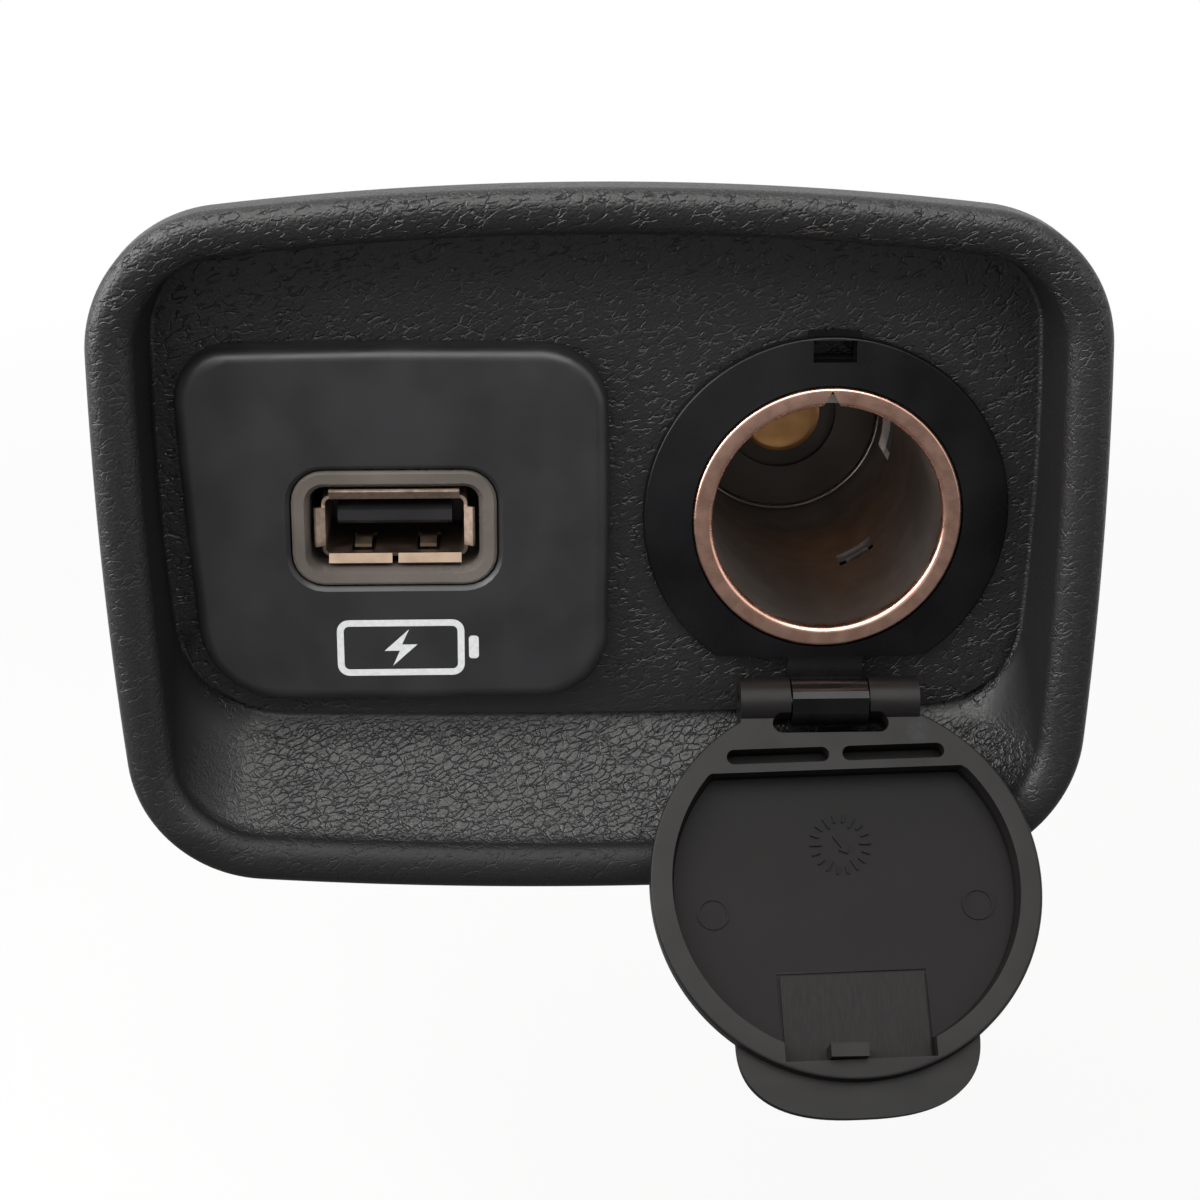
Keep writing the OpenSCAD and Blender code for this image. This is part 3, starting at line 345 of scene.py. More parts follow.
def crowned_outline(corners, radii, crowns, inset, corner_n, side_n):
    """Clockwise outline with four crowned sides and four round corners, shrunk by inset."""
    points = []
    for k in range(4):
        m, q = (k + 1) % 4, (k + 2) % 4
        a, b = corners[k], corners[m]
        ra, rb = radii[k] - inset, radii[m] - inset
        angle = run_angle(a, b, ra, rb)
        normal = direction(angle)
        tip = run_tip(a, b, crowns[k])
        after = run_angle(b, corners[q], rb, radii[q] - inset) + run_tip(b, corners[q], crowns[m])
        sweep = (angle - tip - after) % 360
        start = a + ra * direction(angle + tip)
        end = b + rb * direction(angle - tip)
        for i in range(side_n):
            t = i / side_n
            points.append(start * (1 - t) + end * t + normal * 4 * crowns[k] * t * (1 - t))
        for i in range(corner_n):
            points.append(b + rb * direction(angle - tip - sweep * i / corner_n))
    return np.array(points)


def lifted(outline, out):
    return np.column_stack([outline, np.full(len(outline), float(out))])


# Bezel sizes. The outlines and the openings are the part's; the rim's roll, the wall under it and the blind
# pocket behind the catch window are formed here.
bezel_w, bezel_h, bezel_reach, bezel_drop, bezel_lean = 88.3, 61.6, 23.4, 1.4, 1.4
bezel_corner_r, bezel_low_right_r = 12.5, 13.6
crown_top, crown_side, crown_low = 1.9, 0.45, 1.2
crest_h, rim_h, rim_w = 7.5, 4.2, 4.1
rim_in_w, rim_in_h, rim_out_w, rim_out_h = 2.6, 2.0, 1.6, 1.5
tray_depth, tray_inset, ledge_h, ledge_step, ledge_sag = 9.5, 4.9, 13.3, 1.2, 0.55
foot_r, floor_low_r, floor_left_more, bezel_wall, seat_w = 0.5, 8.5, 1, 2.2, 1.9
step_ease, seat_ease, back_ease = 0.12, 0.3, 0.5
clip_pitch_x, clip_shift, clip_top, clip_low = 44, 0.75, 22.6, 17.6
post_w, post_t, post_len, rib_w, rib_out, rib_len = 8, 1.8, 9, 1.2, 0.9, 2
sleeve_r, key_w, key_out, slip = 13.25, 3, 1, 0.15
ring_r, catch_w, catch_h, catch_shift, catch_edge, catch_pocket = 16.75, 3.9, 1.9, 0.2, 0.3, 2.2
plate_gap, plate_edge, port_drop, housing_w, housing_h = 3.2, 6.35, 0.35, 33, 25

bezel_left, bezel_right = bezel_reach - bezel_w, bezel_reach
bezel_top, bezel_low = -bezel_drop + bezel_h / 2, -bezel_drop - bezel_h / 2
floor_out = crest_h - tray_depth
floor_low = bezel_low + ledge_h
seat_out = crest_h - rim_h
back_out = floor_out - ledge_step - bezel_wall
port_x = (bezel_left + plate_edge - ring_r - plate_gap) / 2
catch_top = math.sqrt(ring_r ** 2 - (catch_w / 2) ** 2) - catch_edge
bezel_radii = [bezel_corner_r, bezel_corner_r, bezel_low_right_r, bezel_corner_r]
bezel_crowns = [crown_top, crown_side, crown_low, crown_side]
floor_r = bezel_corner_r - tray_inset
floor_radii = [floor_r, floor_r, floor_low_r, floor_low_r + floor_left_more]
floor_crowns = [crown_top, crown_side, crown_low / 3, crown_side]
CORNER_STEPS, SIDE_STEPS = 26, 44
BORE_STEPS, CIRCLE_STEPS, DISC_STEPS = 128, 48, 160
WALL_RINGS, RIM_TURN = 17, 9

# How far a cutter reaches past what it cuts, how deep an added form is rooted, and the angles in degrees from
# which edges stay hard: on plain pieces, on the bezel, and on the cap and the carried-over nodes
PAST, ROOT, POST_ROOT = 1, 0.3, 0.5
HARD, BEZEL_HARD, NODE_HARD = 35, 50, 34

bezel_corners = corner_centres(bezel_left, bezel_right, bezel_top, bezel_low, bezel_lean, bezel_radii)
floor_corners = corner_centres(bezel_left + tray_inset, bezel_right - tray_inset, bezel_top - tray_inset,
                               floor_low, bezel_lean * 0.5, floor_radii)


def bezel_outline(inset):
    return crowned_outline(bezel_corners, bezel_radii, bezel_crowns, inset, CORNER_STEPS, SIDE_STEPS)


def floor_outline(inset):
    return crowned_outline(floor_corners, floor_radii, floor_crowns, inset, CORNER_STEPS, SIDE_STEPS)


def lowness(outline):
    """1 along the lower edge of the tray's floor, fading to 0 up its sides."""
    t = np.clip((floor_low + floor_low_r - outline[:, 1]) / floor_low_r, 0, 1)
    return t * t


def floor_ring(grow, rise, fall):
    outline = floor_outline(-grow)
    return np.column_stack([outline, floor_out + rise - (fall + rise) * lowness(outline)])


def wall_ring(t):
    """Tray wall at share t of the way from its foot to the inner edge of the rim."""
    foot, edge = floor_outline(-foot_r), bezel_outline(rim_w)
    k = lowness(foot)
    low = floor_out + foot_r - (ledge_step + foot_r) * k
    high = crest_h - rim_in_h
    sag = 4 * t * (1 - t) * ledge_sag * k
    return np.column_stack([foot * (1 - t) + edge * t, low * (1 - t) + high * t - sag])


def link_mesh(name, vertices, faces):
    """A smooth-shaded mesh object from front-view millimetres, with its hard edges kept."""
    mesh = bpy.data.meshes.new(name)
    mesh.from_pydata([row(*p) for p in vertices], [], faces)
    mesh.validate()
    edit = bmesh.new()
    edit.from_mesh(mesh)
    bmesh.ops.recalc_face_normals(edit, faces=edit.faces)
    edit.to_mesh(mesh)
    edit.free()
    mesh.shade_smooth()
    mesh.set_sharp_from_angle(angle=math.radians(HARD))
    obj = bpy.data.objects.new(name, mesh)
    bpy.context.scene.collection.objects.link(obj)
    return obj


def skin_faces(count, length):
    """Faces of a closed skin over that many rings of that many points, with flat ends."""
    faces = [tuple(range(length))]
    for i in range(count - 1):
        for k in range(length):
            a, b = i * length + k, i * length + (k + 1) % length
            faces.append((a, a + length, b + length, b))
    faces.append(tuple(reversed(range((count - 1) * length, count * length))))
    return faces


def box_points(x, up, out):
    """Corners of a box from three (low, high) pairs."""
    return [(x[i], up[j], out[k]) for k in (0, 1) for j in (0, 1) for i in (0, 1)]


BOX_FACES = [(0, 2, 3, 1), (4, 5, 7, 6), (0, 1, 5, 4), (2, 6, 7, 3), (0, 4, 6, 2), (1, 3, 7, 5)]


def circle(r, steps=CIRCLE_STEPS, centre=(0, 0)):
    turn = [2 * math.pi * i / steps for i in range(steps)]
    return [(centre[0] + r * math.cos(a), centre[1] + r * math.sin(a)) for a in turn]


def prisms(outlines, low, high):
    """Closed prisms over outlines of the front view, as one list of points and one of faces."""
    vertices, faces = [], []
    for outline in outlines:
        start, n = len(vertices), len(outline)
        vertices += [(*p, low) for p in outline] + [(*p, high) for p in outline]
        faces += [tuple(start + i for i in reversed(range(n))), tuple(start + n + i for i in range(n))]
        sides = [(i, (i + 1) % n, (i + 1) % n + n, i + n) for i in range(n)]
        faces += [tuple(start + i for i in side) for side in sides]
    return vertices, faces


def span(middle, size):
    """Low and high end of a size laid evenly about its middle."""
    return middle - size / 2, middle + size / 2


def along_x(vertices):
    """Turns prisms that were drawn in the plane of up and out, so that they run along x."""
    return [(x, up, out) for up, out, x in vertices]


def cut(obj, cutter, operation="DIFFERENCE"):
    """Takes the cutter's shape out of the object for good, or joins it on."""
    step = obj.modifiers.new("cut", "BOOLEAN")
    step.operation = operation
    step.solver = "EXACT"
    step.object = cutter
    bpy.context.view_layer.update()
    done = bpy.data.meshes.new_from_object(obj.evaluated_get(bpy.context.evaluated_depsgraph_get()))
    obj.modifiers.clear()
    obj.data = done
    bpy.data.objects.remove(cutter)


def rim_ring(a):
    """Ring of the rim's section: its inner edge at 0 degrees, the crest at 90, its outer side at 180."""
    side, drop = math.cos(math.radians(a)), 1 - math.sin(math.radians(a))
    if a < 90:
        return lifted(bezel_outline(rim_w - rim_in_w * (1 - side)), crest_h - rim_in_h * drop)
    return lifted(bezel_outline(rim_out_w * (1 + side)), crest_h - rim_out_h * drop)


def add_box(mesh, x, up, out):
    """Adds a closed box to a mesh, from three (low, high) pairs."""
    edit = bmesh.new()
    edit.from_mesh(mesh)
    corners = [edit.verts.new(row(*p)) for p in box_points(x, up, out)]
    for face in BOX_FACES:
        edit.faces.new([corners[i] for i in face])
    edit.to_mesh(mesh)
    edit.free()


def bezel_rings():
    """Rings of the bezel's skin, from the tray's floor over the rim to the back."""
    rings = [floor_ring(step_ease * t, 0, ledge_step * t) for t in (0, 0.5, 1)]
    for a in (30, 50, 70):
        foot = foot_r * math.sin(math.radians(a)), foot_r * (1 - math.cos(math.radians(a)))
        rings.append(floor_ring(*foot, ledge_step))
    rings += [wall_ring(t) for t in np.linspace(0, 1, WALL_RINGS)]
    rings += [rim_ring(a) for a in range(RIM_TURN, 181, RIM_TURN)]
    halfway = (bezel_outline(seat_w + seat_ease) + floor_outline(-bezel_wall - back_ease)) / 2
    return rings + [
        lifted(bezel_outline(0), seat_out),
        lifted(bezel_outline(seat_w), seat_out),
        lifted(halfway, (seat_out + back_out) / 2),
        lifted(floor_outline(-bezel_wall), back_out),
    ]


def make_bezel():
    rings = bezel_rings()
    bezel = link_mesh("bezel_skin", np.concatenate(rings), skin_faces(len(rings), len(rings[0])))
    bore, through = sleeve_r + slip, (back_out - PAST, floor_out + PAST)
    cut(bezel, link_mesh("bore_cutter", *prisms([circle(bore, BORE_STEPS)], *through)))
    for x, up, out in (
        (span(0, key_w + 2 * slip), (bore - PAST, bore + key_out), through),
        (span(port_x, housing_w + 2 * slip), span(-port_drop, housing_h + 2 * slip), through),
        (span(catch_shift, catch_w), (catch_top - catch_h, catch_top),
         (floor_out - catch_pocket, floor_out + PAST)),
    ):
        cut(bezel, link_mesh("box_cutter", box_points(x, up, out), BOX_FACES))
    for up in (clip_top, -clip_low):
        for side in (-1, 1):
            middle = (bezel_left + bezel_right) / 2 + clip_shift + side * clip_pitch_x / 2
            post = (back_out - post_len, back_out + POST_ROOT)
            add_box(bezel.data, span(middle, post_w), span(up, post_t), post)
            for rib in (-1, 0, 1):
                at = middle + rib * (post_w - rib_w) / 2
                rib_run = (back_out - rib_len, back_out + POST_ROOT)
                add_box(bezel.data, span(at, rib_w), span(up, post_t + 2 * rib_out), rib_run)
    finish_bezel(bezel)


# Depth of the leather's grain by region, as a share of the full relief
SIDE_GRAIN, TOP_GRAIN, FLOOR_GRAIN, LEDGE_GRAIN, WALL_GRAIN = 0.28, 0.5, 0.5, 0.62, 0.05
# Where the regions lie: under the crest, over the floor, below the floor's edge, under the top, from the left
RIM_ZONE, FLOOR_ZONE, LEDGE_ZONE, TOP_ZONE, LEFT_ZONE = 2.4, 0.3, 0.4, 14, 3


def fade(value, start, width):
    """0 up to the start, and 1 once the width is passed."""
    return np.clip((value - start) / width, 0, 1)


def finish_bezel(bezel):
    """Shades the bezel, marks where its grain is strong and where the ledge is, and hangs it on the panel."""
    mesh = bezel.data
    mesh.shade_smooth()
    mesh.set_sharp_from_angle(angle=math.radians(BEZEL_HARD))
    grain = mesh.attributes.new("grain", "FLOAT", "POINT")
    ledge = mesh.attributes.new("ledge", "FLOAT", "POINT")
    co = np.zeros(len(mesh.vertices) * 3, np.float32)
    mesh.vertices.foreach_get("co", co)
    x, y, z = co.reshape(-1, 3).T / MM
    out = -y
    is_rim = fade(out, crest_h - RIM_ZONE, 1.2)
    is_floor = fade(-out, -floor_out - FLOOR_ZONE, 0.2) * (z > floor_low - FLOOR_ZONE)
    is_ledge = fade(-z, LEDGE_ZONE - floor_low, 1.5) * (1 - is_rim)
    is_top = fade(z, bezel_top - TOP_ZONE, 8)
    left_fade = np.maximum(fade(x, bezel_left + tray_inset + LEFT_ZONE, 7), 0.2)
    rim_grain = is_rim * (SIDE_GRAIN + TOP_GRAIN * is_top)
    weight = rim_grain + FLOOR_GRAIN * is_floor + LEDGE_GRAIN * is_ledge * left_fade + WALL_GRAIN
    grain.data.foreach_set("value", np.clip(weight, 0, 1).astype(np.float32))
    ledge.data.foreach_set("value", is_ledge.astype(np.float32))
    mesh.materials.clear()
    mesh.materials.append(bezel_look().material)
    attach(bezel, "panel")
    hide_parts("bezel")


# Cap sizes, in the closed cap's own frame: x right, up from the hinge axis, out towards the user
hinge_drop, hinge_out, hinge_shift, knuckle_w, ear_w, ear_r, pin_r = 17.2, 1.5, 0.4, 7, 4.6, 2.3, 0.8
cap_r, cap_t, cap_rim, cap_skin, cap_gap, cap_reach, cap_edge_r = 17.65, 3.3, 2.15, 1.2, 0.3, 17.4, 1.8
cap_shift, cap_lean, pocket_flat, ear_gap, ear_drop, open_turn = 0.15, 1.4, 6.9, 0.15, 0.35, 139.7
grip_len, grip_w, grip_root, grip_full, grip_low, grip_drop = 3.1, 21.6, 4.1, 0.78, 0.1, 0.9
grip_round, grip_taper = 0.5, 0.35
hook_play_w, hook_play_h, hook_out = 0.6, 0.7, 1.1
cap_in = cap_gap - hinge_out
cap_out = cap_in + cap_t
pocket_r, pocket_out = cap_r - cap_rim, cap_in + cap_t - cap_skin
ear_x = knuckle_w / 2 + ear_gap
oval_w, oval_h, oval_y = knuckle_w + 3.7, 1.8, 2.45
slit_w, slit_h, slit_y, slit_web = 9.4, 1.4, 5.4, 1.2
dimple_r, dimple_w, dimple_x, dimple_y, dimple_t = 1.45, 0.22, 12, 2, 0.12
patch_w, patch_up, patch_middle, patch_end, patch_t = 13.4, 7.7, 11, 0.35, 0.2
patch_sink, patch_play, pin_bore_len, pin_slip = 0.15, 0.25, 30, 1.02
rub_x, rub_up, rub_r, rub_soft = 8.0, 3.2, 0.4, 1.5
wheel_r, wheel_y, wheel_ticks, tick_w, tick_len, long_tick_len = 2.8, -4.0, 18, 0.18, 0.75, 1.05
mark_t, mark_root, arrow_turn = 0.2, 0.05, -35


def revolved(profile):
    """Closed surface from (radius, out) points; its first and last ring are closed with flat faces."""
    vertices = [(x, y, out) for r, out in profile for x, y in circle(r, DISC_STEPS)]
    return vertices, skin_faces(len(profile), DISC_STEPS)


def leant(vertices):
    """Moves points from the disc's own frame to the closed cap's, where the disc leans to the right."""
    c, s = math.cos(math.radians(cap_lean)), math.sin(math.radians(cap_lean))
    return [(cap_shift + x * c + (y + cap_reach) * s, (y + cap_reach) * c - x * s, out)
            for x, y, out in vertices]


def slot_outline(x, y, w, h):
    return [(x + px, y + py) for px, py in rounded(w, h, h / 2 - 0.01, n=8)]


def grip_outline():
    turn = [math.radians(-90 + 180 * i / 48) for i in range(49)]
    root, end = cap_r - grip_root, cap_r + grip_len
    return [(grip_w / 2 * math.copysign(abs(math.sin(a)) ** grip_full, a),
             root + (end - root) * max(0, math.cos(a)) ** grip_full) for a in turn]


def make_cap(material):
    """The cap, made closed and then turned to its open rest."""
    edge = [(cap_r - cap_edge_r + cap_edge_r * math.cos(math.radians(a)),
             cap_out - cap_edge_r + cap_edge_r * math.sin(math.radians(a))) for a in range(0, 91, 10)]
    foot = [(cap_r - 0.3, cap_in), (cap_r - 0.1, cap_in + 0.08), (cap_r, cap_in + 0.3)]
    vertices, faces = revolved([(1, cap_in), *foot, *edge, (1, cap_out)])
    cap = link_mesh("cap_shell", leant(vertices), faces)

    def add(vertices, faces):
        cut(cap, link_mesh("joined", vertices, faces), "UNION")

    def take(vertices, faces):
        cut(cap, link_mesh("cutter", vertices, faces))

    outline = grip_outline()
    grip_out = cap_out - grip_drop
    rows = [(1, grip_low), (1, grip_out)]
    rows += [(1 - grip_taper * t * t / cap_r, grip_out + grip_round * math.sqrt(1 - (1 - t) ** 2))
             for t in (0.35, 0.7, 1)]
    vertices = [(x * k, y * k, out) for k, out in rows for x, y in outline]
    add(leant(vertices), skin_faces(len(rows), len(outline)))
    for side in (-1, 1):
        ear = span(side * (ear_x + ear_w / 2), ear_w)
        vertices, faces = prisms([circle(ear_r, 64)], *ear)
        add(along_x(vertices), faces)
        add(box_points(ear, (0, 4), (cap_in, cap_out - ear_drop)), BOX_FACES)
    low, high = cap_in - PAST, cap_out + PAST
    flat = pocket_flat - cap_reach
    walls = ((pocket_r + 0.3, low), (pocket_r - 0.1, pocket_out))
    pocket = [(x, max(y, flat), out) for r, out in walls for x, y in circle(r, DISC_STEPS)]
    take(leant(pocket), skin_faces(2, DISC_STEPS))
    half = patch_w / 2
    seat = box_points((-half, half), (patch_up, pocket_r + patch_end), (low, pocket_out + patch_sink))
    take(leant(seat), BOX_FACES)
    take(box_points((-ear_x, ear_x), (-ear_r - PAST, oval_y), (low, high)), BOX_FACES)
    take(*prisms([slot_outline(0, oval_y, oval_w, oval_h)], low, high))
    for side in (-1, 1):
        slit = slot_outline(side * (slit_w + slit_web) / 2, slit_y - cap_reach, slit_w, slit_h)
        vertices, faces = prisms([slit], low, pocket_out)
        take(leant(vertices), faces)
    vertices, faces = prisms([circle(pin_r * pin_slip)], *span(0, pin_bore_len))
    take(along_x(vertices), faces)
    hook_w, hook_t = catch_w - hook_play_w, catch_h - hook_play_h
    hook = box_points(span(catch_shift - hinge_shift, hook_w),
                      span(hinge_drop + catch_top - catch_h / 2, hook_t),
                      (cap_in - hook_out, pocket_out + ROOT))
    add(hook, BOX_FACES)
    finish_lid_piece(cap, material)
    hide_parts("cap")
    patch = box_points((-half + patch_play, half - patch_play),
                       (patch_up + patch_play, pocket_r + patch_end - patch_play),
                       (pocket_out - patch_t, pocket_out + ROOT))
    finish_lid_piece(link_mesh("cap_patch", leant(patch), BOX_FACES), material)
    make_cap_marks(material)


def finish_lid_piece(piece, material):
    """Turns a piece of the closed cap to the open rest, gives it its plastic and hangs it on the lid."""
    c, s = math.cos(math.radians(open_turn)), math.sin(math.radians(open_turn))
    for vertex in piece.data.vertices:
        x, y, z = vertex.co / MM
        up, out = z, -y
        vertex.co = row(x + hinge_shift, up * c - out * s - hinge_drop, up * s + out * c + hinge_out)
    soften(piece.data)
    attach(piece, "lid")
    piece.data.materials.append(material)


def make_cap_marks(material):
    """Raised marks of the mould on the pocket's floor: a tick wheel with an arrow, and ejector rings."""
    buried, proud = pocket_out + mark_root, pocket_out - mark_t
    centre = np.array([0.0, wheel_y])
    outlines = []
    for i in range(wheel_ticks):
        d = direction(360 * i / wheel_ticks)
        side = np.array([-d[1], d[0]]) * tick_w / 2
        length = tick_len if i % 3 else long_tick_len
        inner, outer = centre + d * (wheel_r - length), centre + d * wheel_r
        outlines.append([inner - side, outer - side, outer + side, inner + side])
    arrow = [(-0.12, -1.0), (0.12, -1.0), (0.12, 0.35), (0.5, 0.35), (0, 1.1), (-0.5, 0.35), (-0.12, 0.35)]
    c, s = direction(arrow_turn)
    outlines.append([(x * c - y * s, wheel_y + x * s + y * c) for x, y in arrow])
    vertices, faces = prisms(outlines, buried, proud)
    finish_lid_piece(link_mesh("cap_marks", leant(vertices), faces), material)
    buried, proud = pocket_out + 2 * mark_root, pocket_out - dimple_t
    inner_r = dimple_r - dimple_w
    section = ((dimple_r, buried), (dimple_r, proud), (inner_r, proud), (inner_r, buried))
    vertices, faces = [], []
    for side in (-1, 1):
        start = len(vertices)
        for r, out in section:
            vertices += [(x, y, out) for x, y in circle(r, centre=(side * dimple_x, dimple_y))]
        for i in range(4):
            band, ahead = start + i * CIRCLE_STEPS, start + (i + 1) % 4 * CIRCLE_STEPS
            for k in range(CIRCLE_STEPS):
                after = (k + 1) % CIRCLE_STEPS
                faces.append((band + k, band + after, ahead + after, ahead + k))
    finish_lid_piece(link_mesh("cap_ejector_rings", leant(vertices), faces), material)


def cap_look():
    """Cap plastic, darker in the pocket and with a painted shadow in the pocket by the hinge, with a paler
    matt patch and a rubbed spot by the slits.
    """
    look = Look("cap_plastic", base=(0.0062, 0.0055, 0.0056), roughness=0.42, specular=0.2)
    look.bump(look.noise(0.1, detail=2), 0.004)
    c, s = math.cos(math.radians(open_turn)), math.sin(math.radians(open_turn))
    hinge = row(hinge_shift, -hinge_drop, hinge_out)
    away, face = Vector((0, -s, c)), Vector((0, -c, -s))
    x = look.axes()["X"]
    t = look.along(hinge, away)
    out = look.along(hinge, face)
    deep = look.within(out, (pocket_out - 0.7) * MM, (pocket_out + 0.3) * MM, 0.15 * MM)
    middle = hinge_shift + cap_shift + (cap_reach + patch_middle) * math.sin(math.radians(cap_lean))
    beside = look.within(x, (middle - patch_w / 2) * MM, (middle + patch_w / 2) * MM, 0.05 * MM)
    beyond = look.within(t, (cap_reach + patch_up) * MM, (cap_reach + pocket_r + 1) * MM, 0.05 * MM)
    patch = look.math("MULTIPLY", deep, look.math("MULTIPLY", beside, beyond))
    shade = look.remap(look.noise(5, detail=3), 0.3, 0.7)
    rim = look.blend(shade, (0.0056, 0.005, 0.005), (0.0074, 0.0067, 0.0067))
    pocket = look.blend(shade, (0.0023, 0.0014, 0.0016), (0.0033, 0.0023, 0.0025))
    # Painted shadow: the pocket's colour darkens towards the hinge, where its straight top wall shades it
    hinge_shadow = look.remap(t, 7 * MM, 18 * MM, 1.0, 0.0, smooth=True)
    pocket = look.blend(hinge_shadow, pocket, (0.001, 0.0007, 0.0008))
    grip = look.remap(t, (cap_reach + cap_r - 0.3) * MM, (cap_reach + cap_r + 0.5) * MM, smooth=True)
    colour = look.blend(deep, look.blend(grip, rim, (0.0038, 0.0034, 0.0035)), pocket)
    lines = look.remap(look.noise(0.25, detail=3, place=look.stretched((0.6, 6, 6))), 0.35, 0.65)
    matt = look.blend(lines, (0.0055, 0.005, 0.005), (0.0095, 0.0088, 0.0088))
    colour = look.blend(patch, colour, matt)
    spot = look.add("ShaderNodeVectorMath", operation="DISTANCE")
    look.join(look.place, spot.inputs[0])
    spot.inputs[1].default_value = hinge + (Vector((rub_x, 0, 0)) + away * rub_up + face * cap_in) * MM
    near = look.remap(spot.outputs["Value"], rub_r * MM, rub_soft * MM, 1.0, 0.0, smooth=True)
    rubbed = look.math("MULTIPLY", near, look.remap(look.noise(0.8, detail=5), 0.3, 0.7))
    look.colour(look.blend(rubbed, colour, (0.026, 0.027, 0.029)))
    gloss = look.remap(look.noise(4, detail=3), 0.3, 0.7, 0.38, 0.46)
    look.roughness(look.mix(look.math("MAXIMUM", deep, rubbed), gloss, 0.6))
    return look


def bezel_look():
    """Leather-grained plastic: sparse short creases, and slanting strokes with pebbles on the ledge."""
    look = Look("bezel_leather", base=(0.0095, 0.0095, 0.01), roughness=0.42)
    grain = look.attribute("grain")
    ledge = look.attribute("ledge")
    flat = look.stretched((2.2, 1, 1), turn=24)
    creases = look.remap(look.cells(0.7, look.warped(flat, 1.2, 0.8)), 0.0, 0.11)
    calm = look.remap(look.noise(1.1, detail=3), 0.44, 0.62, smooth=True)
    creases = look.mix(calm, 1.0, creases)
    steep = look.warped(look.stretched((3.2, 1, 1), turn=38), 1.5, 0.8)
    strokes = look.remap(look.noise(0.5, detail=3, place=steep), 0.34, 0.64)
    pebbles = look.remap(look.cells(0.62, steep), 0.0, 0.1)
    crossing = look.stretched((2.6, 1, 1), turn=-32)
    crossing = look.remap(look.cells(1.0, look.warped(crossing, 1.2, 0.6)), 0.0, 0.08)
    lines = look.math("MINIMUM", pebbles, look.mix(calm, 1.0, crossing))
    folds = look.mix(0.55, strokes, lines)
    small = look.stretched((1.5, 1, 1), turn=30)
    fine = look.remap(look.cells(0.4, look.warped(small, 0.8, 0.4)), 0.0, 0.4)
    both = look.mix(ledge, creases, folds)
    height = look.math("ADD", look.math("MULTIPLY", both, 0.8), look.math("MULTIPLY", fine, 0.2))
    look.bump(height, 0.2, grain)
    gloss = look.remap(look.noise(0.25, detail=2), 0.3, 0.7, 0.36, 0.5)
    look.roughness(look.math("SUBTRACT", gloss, look.math("MULTIPLY", ledge, 0.05)))
    axes = look.axes()
    low = look.remap(axes["Z"], (bezel_low + 4) * MM, (bezel_low + 6) * MM, 1.0, 0.0, smooth=True)
    crest = look.remap(axes["Y"], (1.4 - crest_h) * MM, (3 - crest_h) * MM, 1.0, 0.0, smooth=True)
    look.specular(look.mix(look.math("MULTIPLY", low, crest), 0.5, 0.2))
    return look


# Looks of the carried-over nodes, and how far their roughness varies over a surface
PLASTIC_SPREAD, METAL_SPREAD = 0.05, 0.08


def moulded(name, base, roughness, grain_size, grain_depth, specular=0.3):
    """Moulded plastic with a fine texture and slightly uneven gloss."""
    look = Look(name, base=base, roughness=roughness, specular=specular)
    look.bump(look.noise(grain_size, detail=2), grain_depth)
    smoother, rougher = roughness - PLASTIC_SPREAD, roughness + PLASTIC_SPREAD
    look.roughness(look.remap(look.noise(4, detail=3), 0.3, 0.7, smoother, rougher))
    paler = tuple(min(1, c * 1.18 + 0.002) for c in base)
    darker = tuple(c * 0.86 for c in base)
    look.colour(look.blend(look.remap(look.noise(7, detail=4), 0.35, 0.65), darker, paler))
    return look


def nickel_look():
    """Plated sheet metal: a bright lip, and behind it a brushed bore whose colour is painted darker for the
    shade inside the barrel.
    """
    look = Look("nickel_plate", base=(0.5, 0.36, 0.3), roughness=0.3, metallic=1.0)
    depth = look.axes()["Y"]
    shaded_inside = look.remap(depth, 0.6 * MM, 1.6 * MM, smooth=True)
    patches = look.remap(look.noise(2.6, detail=4), 0.35, 0.7)
    lip = look.blend(patches, (0.86, 0.5, 0.38), (0.97, 0.6, 0.47))
    # Painted shade: the bore's colour is darker than the lip's, for the shade deep in the barrel
    bore = look.blend(patches, (0.48, 0.42, 0.39), (0.6, 0.53, 0.49))
    look.colour(look.blend(shaded_inside, lip, bore))
    look.roughness(look.mix(shaded_inside, look.remap(look.noise(1.2, detail=3), 0.3, 0.7, 0.22, 0.34), 0.36))
    look.bump(look.noise(0.12, detail=2, place=look.stretched((1, 10, 1))), 0.0012)
    return look


def shell_look():
    """Worn plated shell of the charging port, duller on its lower lips."""
    look = metal("shell_plate", (0.62, 0.47, 0.36), 0.46, (1, 6, 1))
    low = look.remap(look.axes()["Z"], -2.6 * MM, -1.4 * MM, smooth=True)
    patches = look.remap(look.noise(0.5, detail=3), 0.35, 0.65)
    pale = look.blend(patches, (0.5, 0.38, 0.3), (0.66, 0.51, 0.41))
    look.colour(look.blend(low, (0.2, 0.148, 0.11), pale))
    return look


def metal(name, base, roughness, grain):
    """Metal with fine drawn lines and patchy gloss; grain gives the lines' relative lengths."""
    look = Look(name, base=base, roughness=roughness, metallic=1.0)
    lines = look.noise(0.12, detail=3, place=look.stretched(grain))
    look.bump(lines, 0.002)
    smoother, rougher = roughness - METAL_SPREAD, roughness + METAL_SPREAD
    look.roughness(look.remap(look.noise(1.6, detail=4), 0.3, 0.7, smoother, rougher))
    duller = tuple(c * 0.8 for c in base)
    look.colour(look.blend(look.remap(look.noise(2.4, detail=4), 0.35, 0.7), duller, base))
    return look


